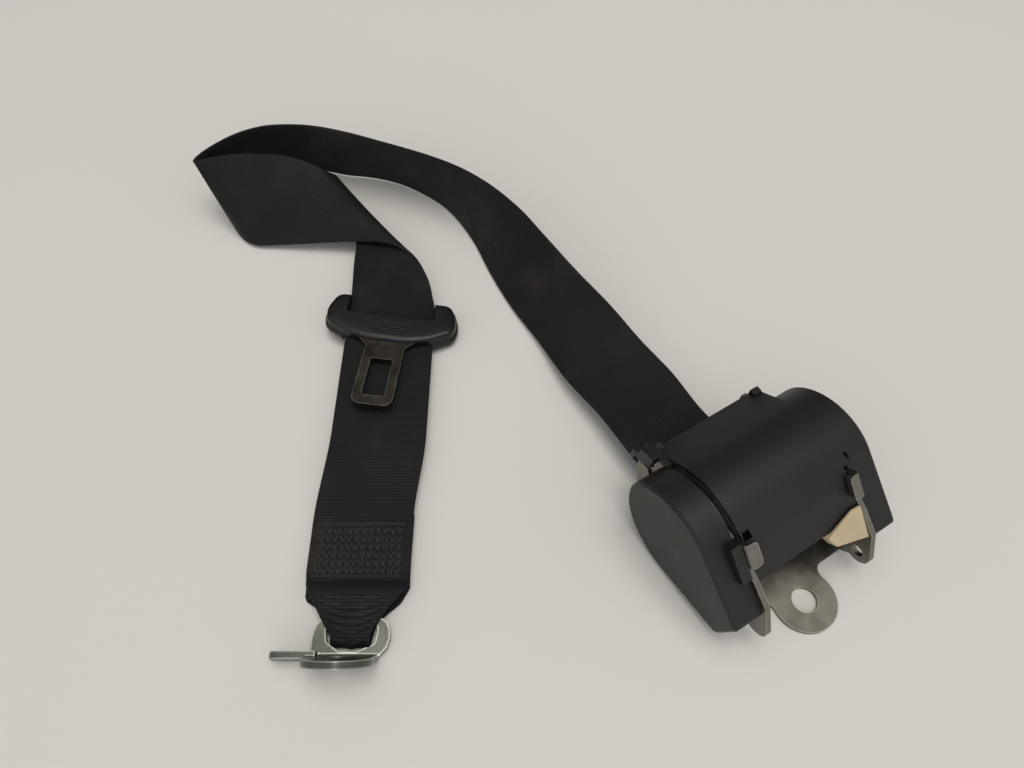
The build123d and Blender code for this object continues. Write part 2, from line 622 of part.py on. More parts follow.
LAP_LOW = ((-42.5, -36, LAP_Z - LAP_RISE), (-88.9, -35.4, LAP_Z + LAP_RISE))
LAP_TURN = ((-45.9, -78, 5.6), (-92.4, -78, 5.6))
LAP_END = ((-45.6, -104, 5.6), (-92.1, -104, 5.6))


def ends_of(ruling):
    """Both ends of a ruling, moved out or in from its middle to suit the strap's width."""
    inner, outer = lay(*ruling[0]), lay(*ruling[1])
    mid, half = (inner + outer) / 2, (outer - inner) / 2 * (STRAP_W / RULED_W)
    return mid - half, mid + half


def strap_corners(inner, outer, run):
    """Corners of a thin rectangle across the strap, square to the way that the strap runs."""
    normal = (outer - inner).cross(run).normalized() * (STRAP_T / 2)
    return [inner + normal, outer + normal, outer - normal, inner - normal]


def middle(ruling):
    inner, outer = ends_of(ruling)
    return (inner + outer) / 2


def folded_strip(sections):
    """A closed strip through its cross sections; every side is creased along one diagonal."""
    flats = [sections[0], sections[-1]]
    for near, far in zip(sections, sections[1:]):
        for k in range(4):
            a, b, c, d = near[k], near[(k + 1) % 4], far[(k + 1) % 4], far[k]
            flats += [[a, b, c], [a, c, d]] if k < 2 else [[a, b, d], [b, c, d]]
    strip = Solid(Shell([make_face(Polyline(*flat, close=True)) for flat in flats]))
    return strip if strip.volume > 0 else Solid(strip.wrapped.Reversed())


def build_strap(rulings, before, after):
    """One length of the strap, folded straight from ruling to ruling."""
    mids = [middle(r) for r in [before] + rulings + [after]]
    return folded_strip([strap_corners(*ends_of(r), mids[k + 2] - mids[k]) for k, r in enumerate(rulings)])


def exit_rulings():
    """Rulings of the strap inside the retractor, from under the coil to the exit."""
    left, right = SPOOL_SHIFT - STRAP_W / 2, SPOOL_SHIFT + STRAP_W / 2
    low = AXIS_Z - REEL_EXIT
    places = [(AXIS_Y - 2, low), (AXIS_Y + 6, low + 0.2), (BACK_END + 2.2, GUIDE_R + 6.0)]
    return [(Vector(left, y, z), Vector(right, y, z)) for y, z in places]


def reel_exit():
    """The strap inside the retractor."""
    rulings = exit_rulings() + [ends_of(SHOULDER[0])]
    mids = [(a + b) / 2 for a, b in rulings] + [middle(SHOULDER[1])]
    return folded_strip([
        strap_corners(a, b, mids[k + 1] - mids[max(k - 1, 0)]) for k, (a, b) in enumerate(rulings)
    ])


def first_shoulder():
    """The free strap next to the retractor; it starts square to the same run as the exit."""
    rulings = [ends_of(r) for r in SHOULDER]
    mids = [sum(exit_rulings()[-1], Vector()) / 2] + [(a + b) / 2 for a, b in rulings] + [middle(CREST[1])]
    return folded_strip([strap_corners(a, b, mids[k + 2] - mids[k]) for k, (a, b) in enumerate(rulings)])


# Anchor end: the strap tapers, goes round the bar of the anchor plate and back under itself
BAR_AT = (-68.85, -125.0, 4.3)
LOOP_R = hypot(ANCHOR_BAR, ANCHOR_T) / 2 + FIT   # inside radius: the bar can turn in it
LOOP_REACH = 8.0         # slack of the loop beyond the bar
TAIL_LONG = 49.0         # under layer, from the bar back under the strap


def loop_plane():
    """A plane whose x runs along the strap to the anchor, and whose y points up."""
    along = lay_way(0.0, -1.0, 0.0)
    return Plane(origin=lay(*BAR_AT), x_dir=along, z_dir=along.cross(Vector(0, 0, 1)))


def build_loop():
    """Tapered loop round the anchor's bar, with its tail stitched under the lap strap."""
    start = BAR_AT[1] - LAP_END[0][1]
    mid_r = LOOP_R + STRAP_T / 2
    half = STRAP_T / 2
    over = LAP_END[0][2] - BAR_AT[2]
    under = over - STRAP_T - 0.05
    top = [(start, over + half), (-13, mid_r + half), (LOOP_REACH, mid_r + half),
           (LOOP_REACH, mid_r - half), (-13, mid_r - half), (start, over - half)]
    tail = [(LOOP_REACH, -mid_r - half), (-13, -mid_r - half + 0.1), (start - 2, under - half),
            (-TAIL_LONG, under - half), (-TAIL_LONG, under + half), (start - 2, under + half),
            (-13, -mid_r + half + 0.1), (LOOP_REACH, -mid_r + half)]
    ring = Circle(mid_r + half) - Circle(mid_r - half)
    ring &= Pos(mid_r + half, 0) * Rectangle(2 * (mid_r + half), 4 * mid_r)
    plane = loop_plane()
    wide = STRAP_W / 2
    slim = ANCHOR_SLOT_W / 2 - 0.8
    plan = Plane(origin=lay(BAR_AT[0], BAR_AT[1], 0), x_dir=lay_way(0, -1, 0), z_dir=(0, 0, 1))

    def cut_to(profile, sides, other=None):
        layer = extrude(plane * profile, amount=STRAP_W, both=True)
        opposite = [(a, -b) for a, b in reversed(other or sides)]
        return layer & extrude(plan * make_face(Polyline(*sides, *opposite, close=True)), amount=30)

    over_sides = [(start, wide), (-14, wide - 0.6), (-8, slim + 6), (-3, slim), (LOOP_REACH, slim - 2)]
    under_left = [(-TAIL_LONG, wide), (-9.5, wide), (-3, slim), (LOOP_REACH, slim - 2)]
    under_right = [(-TAIL_LONG, wide), (-16, wide), (-5, slim + 4), (-3, slim), (LOOP_REACH, slim - 2)]
    end_sides = [(LOOP_REACH, slim - 2), (LOOP_REACH + mid_r + half, slim - 4)]
    loop = cut_to(make_face(Polyline(*top, close=True)), over_sides)
    loop += cut_to(make_face(Polyline(*tail, close=True)), under_right, under_left)
    return loop + cut_to(Pos(LOOP_REACH, 0) * ring, end_sides)


def build_stitching():
    """Raised block of lock stitches that closes the loop."""
    centre = (middle(LAP_TURN) + middle(LAP_END)) / 2 + lay_way(0, -2, 0) + Vector(0, 0, STRAP_T / 2)
    plane = Plane(origin=centre, x_dir=lay_way(0, -1, 0), z_dir=(0, 0, 1))
    return extrude(plane * Rectangle(STITCH_LONG, STRAP_W - 2 * STITCH_EDGE), amount=0.6)


# Tongue: steel plate with a plastic grip, on the strap between the fold and the stitches
TONGUE_AT = (-65.0, 34.2, LAP_Z)


def lap_way():
    """The way that the strap runs under the tongue, towards the anchor."""
    return (middle(LAP_LOW) - middle(LAP_TOP)).normalized()


def tongue_plane():
    """x runs across the tongue, y towards the blade's tip, z up from the middle of the strap."""
    up = lay_way(sin(radians(LAP_ROLL)), 0, cos(radians(LAP_ROLL)))
    along = lap_way().rotate(Axis((0, 0, 0), tuple(up)), -TONGUE_SKEW)
    side = along.cross(up).normalized()
    return Plane(origin=lay(*TONGUE_AT), x_dir=side, z_dir=side.cross(along))


def boat(inset):
    """Boat shape of the grip, seen from above; its front corners are swept back."""
    half, deep = TONGUE_W / 2 - inset, TONGUE_DEEP / 2 - inset
    right = [(half - 6, -deep), (half - 1.2, -deep + 4.0), (half, 0.5), (half - 3.5, deep - 7.5),
             (half - 14, deep - 1.2)]
    left = [(-x, y) for x, y in reversed(right)]
    return make_face(Polyline(*right, (half - 20, deep), (-half + 20, deep), *left, close=True))


FRONT_BAR = -TONGUE_DEEP / 2 + BAR_DEEP + SLOT_DEEP
PASSAGE = STRAP_T / 2 + SLIT
PLATE_LOW = PASSAGE + 0.7


def build_tongue_grip():
    deep = TONGUE_DEEP / 2
    levels = [(-GRIP_BELOW, 3.2), (-2.6, 0.5), (0.5, 0.0), (4.2, 0.5), (GRIP_ABOVE, 2.6)]
    grip = loft([Plane.XY.offset(z) * boat(inset) for z, inset in levels], ruled=True)
    over_bar = FRONT_BAR + deep + 20
    grip -= Pos(0, FRONT_BAR - over_bar / 2, 20 - PASSAGE) * Box(TONGUE_SLOT_W, over_bar, 40)
    under_front = deep + 20 - FRONT_BAR + SLOT_DEEP
    grip -= Pos(0, FRONT_BAR - SLOT_DEEP + under_front / 2, PASSAGE - 20) * Box(
        TONGUE_SLOT_W, under_front, 40)
    for k in range(5):
        rib = Pos(0, FRONT_BAR + 3.2 + 1.9 * k, GRIP_ABOVE) * Box(24.0 - 1.8 * k, 0.9, 1.0)
        grip += rib
    return tongue_plane() * (grip - plate_body())


def plate_body():
    """The tongue plate: blade, flared neck, head inside the grip, cranked to the rear bar."""
    deep = TONGUE_DEEP / 2
    bar_z = -PASSAGE - 0.7 - TONGUE_PLATE_T
    bar_end = -deep + BAR_DEEP - 1.0
    reach = deep + BLADE_LONG
    lift = (BLADE_LONG - 1.0) * tan(radians(BLADE_TILT))
    low = [(-deep + 1.8, bar_z), (bar_end, bar_z), (FRONT_BAR + 1.0, PLATE_LOW), (deep + 1.0, PLATE_LOW),
           (reach, PLATE_LOW + lift)]
    high = [(y, z + TONGUE_PLATE_T) for y, z in low]
    high[1] = (high[1][0] - 1.2, high[1][1])
    high[2] = (high[2][0] - 1.2, high[2][1])
    profile = make_face(Polyline(*low, *reversed(high), close=True))
    sheet = extrude(Plane.YZ * profile, amount=TONGUE_W, both=True)
    head, half, neck = TONGUE_W / 2 - 5.0, BLADE_W / 2, NECK_FLARE / 2
    plan = make_face(Polyline(
        (-head, -deep + 1.8), (head, -deep + 1.8), (head, 1.0), (neck + 3, deep - 3.5), (neck, deep),
        (half, deep + 6.0), (half, reach), (-half, reach), (-half, deep + 6.0),
        (-neck, deep), (-neck - 3, deep - 3.5), (-head, 1.0), close=True,
    ))
    tips = [v for v in plan.vertices() if v.Y > reach - 1]
    plan = fillet(tips, 4.5)
    plan -= Pos(0, deep + WINDOW_START + WINDOW_LONG / 2) * RectangleRounded(WINDOW_W, WINDOW_LONG, 1.0)
    slot_low, slot_high = bar_end - 1.3, FRONT_BAR + 1.0
    plan -= Pos(0, (slot_low + slot_high) / 2) * Rectangle(TONGUE_SLOT_W + 1.6, slot_high - slot_low)
    return sheet & extrude(plan, amount=60, both=True)


def build_tongue_plate():
    return tongue_plane() * plate_body()


# Anchor plate: slotted ring, bent up to a bolt eye, with a prong that stops it turning
def anchor_plane():
    """x across the plate, y from the bar towards the bend, z up; it leans down to the table."""
    lean = radians(4.0)
    along = lay_way(0.0, -cos(lean), -sin(lean)).normalized()
    side = along.cross(Vector(0, 0, 1)).normalized()
    return Plane(origin=lay(*BAR_AT), x_dir=side, z_dir=side.cross(along))


def build_anchor_plate():
    half = RING_W / 2
    bar = ANCHOR_BAR / 2
    bend = bar + ANCHOR_SLOT_LONG + 2.0
    ring = make_face(Polyline(
        (half, bend), (half, 7), (half - 1.4, 1.5), (half - 6.5, -bar), (-half + 6.5, -bar), (-half + 1.2, 1.5),
        (-half, 7), (-half + 1.2, 11.5), (-half + 4.6, bend), close=True,
    ))
    for corner, round_off in (((half - 6.5, -bar), 7.0), ((half - 1.4, 1.5), 7.0), ((half, 7), 7.0)):
        ring = rounded(ring, round_off, (*corner, 0), (-corner[0], corner[1], 0))
    wide = ANCHOR_SLOT_W / 2
    slot = make_face(Polyline(
        (-wide, bar), (wide, bar), (wide + 0.4, bar + 3), (wide - 0.4, bar + 7.5),
        (4.4, bar + ANCHOR_SLOT_LONG), (-2.6, bar + ANCHOR_SLOT_LONG), (-wide + 0.4, bar + 8), (-wide - 0.4, bar + 3),
        close=True,
    ))
    slot = fillet(slot.vertices(), 1.0)
    flat = extrude(ring - slot, amount=ANCHOR_T / 2, both=True)
    up = Plane(origin=(0, bend, 0), x_dir=(1, 0, 0),
               z_dir=(0, -sin(radians(BEND_UP)), cos(radians(BEND_UP))))
    eye = Pos(EYE_SHIFT, EYE_REACH) * Circle(EYE_R)
    left, right = EYE_SHIFT + EYE_R, EYE_SHIFT - EYE_R
    eye += make_face(Polyline(
        (half, 0), (-half + 4.6, 0), (right, EYE_REACH - 2), (right, EYE_REACH), (left, EYE_REACH),
        (half, PRONG_WIDE), close=True))
    eye -= Pos(EYE_SHIFT, EYE_REACH) * Circle(EYE_HOLE_R)
    prong = make_face(Polyline(
        (half + PRONG_LONG, 1.4), (half - 4, 0), (half - 4, PRONG_WIDE + 0.6),
        (half + PRONG_LONG - 1.0, PRONG_WIDE), close=True))
    lobe = up * extrude(eye, amount=ANCHOR_T / 2, both=True)
    lobe += up * (Rot(PRONG_LEAN, 0, 0) * extrude(prong, amount=ANCHOR_T / 2, both=True))
    knuckle = Pos(2.3, bend, 0) * Rot(0, 90, 0) * Cylinder(ANCHOR_T / 2, RING_W - 4.6)
    return anchor_plane() * (flat + lobe + knuckle)


def main():
    os.makedirs("parts", exist_ok=True)
    save(build_frame(), "frame")
    save(build_tie_bar(), "tie_bar")
    save(build_guard(), "guard_cover")
    save(build_webbing_guide(), "webbing_guide")
    save(build_spring_cover(), "spring_cover")
    save(build_spring_plate(), "spring_plate")
    save(build_return_spring(), "return_spring")
    save(build_spring_arbor(), "spring_arbor")
    save(build_spool(), "spool")
    save(build_shaft(), "spool_shaft")
    save(rod(WEB_PIN_R, WEB_PIN, REEL_LEFT, REEL_RIGHT), "webbing_pin")
    save(build_wound_webbing(), "wound_webbing")
    save(build_bush(-1), "bush_left")
    save(build_bush(1), "bush_right")
    save(build_ratchet(), "lock_ratchet")
    save(build_pawl(), "lock_pawl")
    save(build_pawl_pin(), "pawl_pin")
    save(build_pawl_block(), "pawl_block")
    save(build_mechanism_cover(), "mechanism_cover")
    save(build_lock_gear(), "lock_gear")
    save(build_inertia_disc(), "inertia_disc")
    save(build_sensor_cup(), "sensor_cup")
    save(build_sensor_ball(), "sensor_ball")
    save(build_sensor_lever(), "sensor_lever")
    save(build_exit_clip(), "exit_clip")
    save(reel_exit(), "webbing_exit")
    save(first_shoulder(), "webbing_shoulder")
    save(build_strap(CREST, SHOULDER[-2], TURN[1]), "webbing_crest")
    save(build_strap(TURN, CREST[-2], FRONT[1]), "webbing_turn")
    save(build_strap(FRONT, TURN[-2], FOLD[1]), "webbing_front")
    save(build_strap(FOLD, FRONT[-2], LAP_LOW), "webbing_fold")
    beyond = ((-45.6, -128, 5.6), (-92.1, -128, 5.6))
    save(build_strap([LAP_TOP, LAP_LOW, LAP_TURN, LAP_END], FOLD[-2], beyond), "webbing_lap")
    save(build_loop(), "webbing_loop")
    save(build_stitching(), "stitching")
    save(build_tongue_grip(), "tongue_grip")
    save(build_tongue_plate(), "tongue_plate")
    save(build_anchor_plate(), "anchor_plate")


main()
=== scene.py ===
"""Looks of an inertia-reel seat belt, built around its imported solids."""
from __future__ import annotations

import logging
import math
from dataclasses import dataclass, field
from enum import Enum
from functools import cached_property

import bmesh
import bpy
import numpy as np
from mathutils import Matrix, Vector

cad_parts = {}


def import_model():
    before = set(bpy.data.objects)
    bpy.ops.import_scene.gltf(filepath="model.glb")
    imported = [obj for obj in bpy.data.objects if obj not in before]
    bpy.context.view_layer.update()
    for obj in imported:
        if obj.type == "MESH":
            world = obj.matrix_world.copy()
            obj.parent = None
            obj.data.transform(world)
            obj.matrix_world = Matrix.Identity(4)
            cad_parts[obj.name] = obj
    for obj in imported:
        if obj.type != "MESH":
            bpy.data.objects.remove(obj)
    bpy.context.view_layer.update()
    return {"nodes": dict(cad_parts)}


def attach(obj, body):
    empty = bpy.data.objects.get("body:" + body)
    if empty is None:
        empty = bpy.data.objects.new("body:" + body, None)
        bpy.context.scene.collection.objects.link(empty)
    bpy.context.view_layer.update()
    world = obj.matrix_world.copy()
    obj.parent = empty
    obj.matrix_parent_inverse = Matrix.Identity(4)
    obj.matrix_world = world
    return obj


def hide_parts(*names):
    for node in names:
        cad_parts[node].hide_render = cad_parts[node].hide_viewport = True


LOG = logging.getLogger("seat_belt")
MM = 0.001
LAY_TURN = math.radians(32.0)
HOLE_IN_LAY = (129.6, -115.5)
STRAP_WIDE = 46.5
STRAP_THICK = 1.2
EDGE_ROUND = 0.5
CLOTH_CREASE = 60.0
HARD_CREASE = 38.0

Point = tuple[float, float, float]
Ruling = tuple[Point, Point]


class Body(Enum):
    """Bodies that pieces ride on."""

    RETRACTOR = "retractor"
    REEL = "reel"
    PAWL = "pawl"
    LEVER = "lever"
    TONGUE = "tongue"
    ANCHOR = "anchor"


def lay(x: float, y: float, z: float) -> Vector:
    """Turns a point on the table, in millimetres, into the retractor's axes.

    Args:
        x: place to the right in the photograph.
        y: place away from the camera.
        z: height over the table.

    Returns:
        The point in metres.
    """
    dx, dy = x - HOLE_IN_LAY[0], y - HOLE_IN_LAY[1]
    cos, sin = math.cos(LAY_TURN), math.sin(LAY_TURN)
    return Vector((dx * cos + dy * sin, dy * cos - dx * sin, z)) * MM


def lay_way(x: float, y: float, z: float) -> Vector:
    """Turns a direction on the table into the retractor's axes.

    Args:
        x: share to the right.
        y: share away from the camera.
        z: share upwards.

    Returns:
        The unit direction.
    """
    return (lay(x + HOLE_IN_LAY[0], y + HOLE_IN_LAY[1], z) / MM).normalized()


# Shader trees
class ShaderTree:
    """A material's or a group's nodes, with short calls to add and join them."""

    def __init__(self, tree: bpy.types.NodeTree) -> None:
        """Keeps the tree to work on."""
        self.tree = tree

    def add(self, kind: str, **settings: object) -> bpy.types.Node:
        """Adds a node.

        Args:
            kind: the node's type.
            settings: properties of the node to set.

        Returns:
            The new node.
        """
        node = self.tree.nodes.new(kind)
        for name, value in settings.items():
            setattr(node, name, value)
        return node

    def feed(self, node: bpy.types.Node, **inputs: object) -> bpy.types.Node:
        """Sets or joins a node's inputs.

        Args:
            node: the node that takes the inputs.
            inputs: input names with underscores for spaces, each a socket or a plain value.

        Returns:
            The same node.
        """
        for name, value in inputs.items():
            key = name.replace("_", " ")
            socket = node.inputs[int(key[1:])] if key[0] == "n" and key[1:].isdigit() else node.inputs[key]
            if isinstance(value, bpy.types.NodeSocket):
                self.tree.links.new(value, socket)
            else:
                socket.default_value = value
        return node

    def math(self, kind: str, first: object, second: object = 0.0,
             third: object = 0.0) -> bpy.types.NodeSocket:
        """Adds one sum of two or three numbers.

        Args:
            kind: the operation, such as MULTIPLY.
            first: a socket or a number.
            second: a socket or a number.
            third: a socket or a number, for the few operations that take one.

        Returns:
            The socket that holds the result.
        """
        node = self.add("ShaderNodeMath", operation=kind)
        self.feed(node, n0=first, n1=second, n2=third)
        return node.outputs[0]

    def noise(self, where: bpy.types.NodeSocket, scale: object, detail: float = 2.0,
              rough: float = 0.5) -> bpy.types.Node:
        """Adds a cloudy noise.

        Args:
            where: socket of the place.
            scale: how fine it is, as a socket or a number.
            detail: how many finer layers it has.
            rough: how strong those layers are.

        Returns:
            The noise's node.
        """
        return self.feed(self.add("ShaderNodeTexNoise"), Vector=where, Scale=scale, Detail=detail,
                         Roughness=rough)

    def corner(self, **parts: object) -> bpy.types.NodeSocket:
        """Joins X, Y and Z to a vector's socket; those left out are 0."""
        return self.feed(self.add("ShaderNodeCombineXYZ"), **parts).outputs[0]

    def blend(self, share: object, first: object, second: object) -> bpy.types.NodeSocket:
        """Mixes two colours.

        Args:
            share: how much of the second, 0 to 1.
            first: colour or socket at 0.
            second: colour or socket at 1.

        Returns:
            The mixed colour's socket.
        """
        node = self.add("ShaderNodeMix", data_type="RGBA")
        for index, value in ((0, share), (6, first), (7, second)):
            if isinstance(value, bpy.types.NodeSocket):
                self.tree.links.new(value, node.inputs[index])
            else:
                node.inputs[index].default_value = value
        return node.outputs[2]

    def span(self, value: object, low: float, high: float, to_low: float = 0.0,
             to_high: float = 1.0) -> bpy.types.NodeSocket:
        """Stretches a range of numbers onto another and holds it there.

        Args:
            value: the number's socket.
            low: start of the range that comes in.
            high: end of the range that comes in.
            to_low: what the start becomes.
            to_high: what the end becomes.

        Returns:
            The socket that holds the result.
        """
        node = self.add("ShaderNodeMapRange", clamp=True)
        self.feed(node, n0=value, n1=low, n2=high, n3=to_low, n4=to_high)
        return node.outputs[0]

    def effect(self, group: bpy.types.NodeTree, **inputs: object) -> bpy.types.Node:
        """Places a shared effect.

        Args:
            group: the shared group.
            inputs: the group's inputs.

        Returns:
            The group's node.
        """
        return self.feed(self.add("ShaderNodeGroup", node_tree=group), **inputs)

    def relief(self, shader: bpy.types.Node, height: bpy.types.NodeSocket, depth: float) -> None:
        """Adds a bump to the surface.

        Args:
            shader: the surface's shader.
            height: socket with the height, 0 to 1.
            depth: what a height of 1 is, in metres.
        """
        bump = self.feed(self.add("ShaderNodeBump"), Height=height, Distance=depth, Strength=1.0)
        self.feed(shader, Normal=bump.outputs[0])


def number_inputs(group: bpy.types.NodeTree, numbers: dict[str, float]) -> dict[str, str]:
    """Gives a group one input for each number.

    Args:
        group: the group.
        numbers: each input's name, with underscores for spaces, and its default.

    Returns:
        The new sockets' identifiers by name.
    """
    keys = {}
    for label, default in numbers.items():
        name = label.replace("_", " ")
        socket = group.interface.new_socket(name=name, in_out="INPUT", socket_type="NodeSocketFloat")
        socket.default_value = default
        keys[name] = socket.identifier
    return keys


class EffectGroups:
    """Shader node groups that several finishes share, each built once."""

    def start(self, name: str, outputs: tuple[str, ...], place: bool = True,
              **numbers: float) -> tuple[ShaderTree, bpy.types.Node, bpy.types.Node]:
        """Makes an empty group with its sockets.

        Args:
            name: the group's name.
            outputs: name of each number that comes out.
            place: whether a place goes in, as Vector.
            numbers: each number that goes in, with underscores for spaces, and its default.

        Returns:
            The tree, its input node and its output node.
        """
        group = bpy.data.node_groups.new(name, "ShaderNodeTree")
        if place:
            group.interface.new_socket(name="Vector", in_out="INPUT", socket_type="NodeSocketVector")
        number_inputs(group, numbers)
        for label in outputs:
            group.interface.new_socket(name=label, in_out="OUTPUT", socket_type="NodeSocketFloat")
        tree = ShaderTree(group)
        return tree, tree.add("NodeGroupInput"), tree.add("NodeGroupOutput")

    @cached_property
    def grain(self) -> bpy.types.NodeTree:
        """Fine moulded or cast grain, with a slow drift of tone.

        Returns:
            The group, with outputs Height and Drift.
        """
        tree, come, go = self.start("fine grain", ("Height", "Drift"), Grain_Scale=2400.0, Drift_Scale=60.0)
        fine = tree.noise(come.outputs["Vector"], come.outputs["Grain Scale"], 3.0, 0.6)
        slow = tree.noise(come.outputs["Vector"], come.outputs["Drift Scale"], 4.0, 0.55)
        tree.feed(go, Height=fine.outputs[0], Drift=tree.span(slow.outputs[0], 0.32, 0.68))
        return tree.tree

    @cached_property
    def dust(self) -> bpy.types.NodeTree:
        """Dust that settles in specks on what faces up.

        Returns:
            The group, with output Mask.
        """
        tree, come, go = self.start("settled dust", ("Mask",), Speck_Scale=900.0, Amount=0.3)
        specks = tree.noise(come.outputs["Vector"], come.outputs["Speck Scale"], 6.0, 0.75)
        patches = tree.noise(come.outputs["Vector"], 38.0, 3.0)
        normal = tree.add("ShaderNodeNewGeometry")
        parts = tree.add("ShaderNodeSeparateXYZ")
        tree.feed(parts, Vector=normal.outputs["Normal"])
        facing = tree.span(parts.outputs["Z"], 0.0, 0.9)
        spread = tree.span(specks.outputs[0], 0.46, 0.80)
        film = tree.span(patches.outputs[0], 0.30, 0.75, 0.45, 1.0)
        lying = tree.math("MULTIPLY", facing, tree.math("MULTIPLY", spread, film))
        tree.feed(go, Mask=tree.math("MULTIPLY", lying, come.outputs["Amount"]))
        return tree.tree

    @cached_property
    def scuffs(self) -> bpy.types.NodeTree:
        """Thin scratches and rubbed places.

        Returns:
            The group, with outputs Scratch and Rub.
        """
        tree, come, go = self.start("scuffs", ("Scratch", "Rub"), Scratch_Scale=90.0, Thinness=0.012)
        bend = tree.noise(come.outputs["Vector"], 70.0)
        shifted = tree.add("ShaderNodeVectorMath", operation="MULTIPLY_ADD")
        tree.feed(shifted, n0=bend.outputs[1], n1=(0.012, 0.012, 0.012), n2=come.outputs["Vector"])
        cells = tree.add("ShaderNodeTexVoronoi", feature="DISTANCE_TO_EDGE")
        tree.feed(cells, Vector=shifted.outputs[0], Scale=come.outputs["Scratch Scale"])
        thin = tree.math("LESS_THAN", cells.outputs["Distance"], come.outputs["Thinness"])
        where = tree.noise(come.outputs["Vector"], 150.0, 3.0)
        scratch = tree.math("MULTIPLY", thin, tree.span(where.outputs[0], 0.56, 0.64))
        rub = tree.noise(come.outputs["Vector"], 45.0, 5.0, 0.7)
        tree.feed(go, Scratch=scratch, Rub=tree.span(rub.outputs[0], 0.54, 0.70))
        return tree.tree

    @cached_property
    def edge_wear_and_highlight(self) -> bpy.types.NodeTree:
        """Edges that handling has rubbed bright, where the finishes that use it also paint a highlight.

        Returns:
            The group, with output Mask.
        """
        tree, come, go = self.start("edge wear", ("Mask",), place=False, Reach=0.0006)
        rounded = tree.add("ShaderNodeBevel", samples=6)
        tree.feed(rounded, Radius=come.outputs["Reach"])
        facing = tree.add("ShaderNodeVectorMath", operation="DOT_PRODUCT")
        tree.feed(facing, n0=rounded.outputs[0], n1=tree.add("ShaderNodeNewGeometry").outputs["Normal"])
        tree.feed(go, Mask=tree.span(facing.outputs["Value"], 0.97, 0.80))
        return tree.tree

    @cached_property
    def weave(self) -> bpy.types.NodeTree:
        """Cross-ribbed weave of seat-belt webbing, from a map in metres: X across it, Y along it.

        Returns:
            The group, with outputs Height and Shade; Shade is painted light and shade of the ribs and woven
            yarns, with a little fibre tone.
        """
        tree, come, go = self.start("ribbed weave", ("Height", "Shade"), Yarn=0.0011, Rib=0.0015)
        place = tree.add("ShaderNodeSeparateXYZ")
        tree.feed(place, Vector=come.outputs["Vector"])
        warp = tree.math("DIVIDE", place.outputs["X"], come.outputs["Yarn"])
        step = tree.math("MULTIPLY", tree.math("MODULO", tree.math("FLOOR", warp), 2.0), 0.5)
        weft = tree.math("ADD", tree.math("DIVIDE", place.outputs["Y"], come.outputs["Rib"]), step)
        over = tree.math("ABSOLUTE", tree.math("SINE", tree.math("MULTIPLY", weft, math.pi)))
        weave_pattern = tree.math("ABSOLUTE", tree.math("SINE", tree.math("MULTIPLY", warp, math.pi)))
        stretched = tree.add("ShaderNodeVectorMath", operation="MULTIPLY")
        tree.feed(stretched, n0=come.outputs["Vector"], n1=(9000.0, 1300.0, 1.0))
        fibre = tree.noise(stretched.outputs[0], 1.0)
        swing = tree.math("MULTIPLY", tree.math("DIVIDE", place.outputs["Y"], come.outputs["Rib"]), math.tau)
        # This rib wave lightens and darkens the Shade output: painted light and shade of the ribs.
        rib = tree.math("MULTIPLY_ADD", tree.math("SINE", swing), 0.5, 0.5)
        body = tree.math("MULTIPLY_ADD", over, 0.35, tree.math("MULTIPLY", weave_pattern, 0.25))
        height = tree.math("MULTIPLY_ADD", fibre.outputs[0], 0.25, body)
        fine = tree.math("MULTIPLY_ADD", over, 0.15, tree.math("MULTIPLY", fibre.outputs[0], 0.25))
        tree.feed(go, Height=height, Shade=tree.math("MULTIPLY_ADD", rib, 0.6, fine))
        return tree.tree


EFFECTS = EffectGroups()


# Finishes
@dataclass(frozen=True)
class Finish:
    """What every finish has: a name, the record's slot, and a colour."""

    name: str
    slot: str
    colour: tuple[float, float, float]
    rough: float

    def shell(self) -> tuple[bpy.types.Material, ShaderTree, bpy.types.Node, bpy.types.NodeSocket]:
        """Starts the material.

        Returns:
            The material, its tree, its surface shader and the socket of the place on the object.
        """
        material = bpy.data.materials.new(self.name)
        material.use_nodes = True
        tree = ShaderTree(material.node_tree)
        shader = material.node_tree.nodes["Principled BSDF"]
        where = tree.add("ShaderNodeTexCoord")
        return material, tree, shader, where.outputs["Object"]

    def tone(self, factor: float) -> tuple[float, float, float, float]:
        """Gives the colour made lighter or darker, with full alpha."""
        return tuple(min(1.0, c * factor) for c in self.colour) + (1.0,)

    def make(self) -> bpy.types.Material:
        """Builds the material; each kind of finish has its own."""
        raise NotImplementedError


@dataclass(frozen=True)
class MouldedPlastic(Finish):
    """Injection-moulded plastic with fine grain, light scratches and some dust."""

    grain_depth: float = 0.00003
    dust: float = 0.05
    dust_colour: tuple[float, float, float] = (0.24, 0.22, 0.20)

    def make(self) -> bpy.types.Material:
        """Builds the plastic.

        Returns:
            The material.
        """
        material, tree, shader, where = self.shell()
        grain = tree.effect(EFFECTS.grain, Vector=where)
        dust = tree.effect(EFFECTS.dust, Vector=where, Amount=self.dust)
        scuffs = tree.effect(EFFECTS.scuffs, Vector=where)
        base = tree.blend(grain.outputs["Drift"], self.tone(0.92), self.tone(1.08))
        worn = tree.blend(tree.math("MULTIPLY", scuffs.outputs["Scratch"], 0.12), base, self.tone(2.4))
        dirty = tree.blend(dust.outputs["Mask"], worn, self.dust_colour + (1.0,))
        polish = tree.math("MULTIPLY_ADD", scuffs.outputs["Rub"], -0.07, self.rough)
        matt = tree.math("MULTIPLY_ADD", dust.outputs["Mask"], 0.35, polish)
        tree.feed(shader, Base_Color=dirty, Roughness=matt, IOR=1.49, Specular_IOR_Level=0.42)
        tree.relief(shader, grain.outputs["Height"], self.grain_depth)
        return material


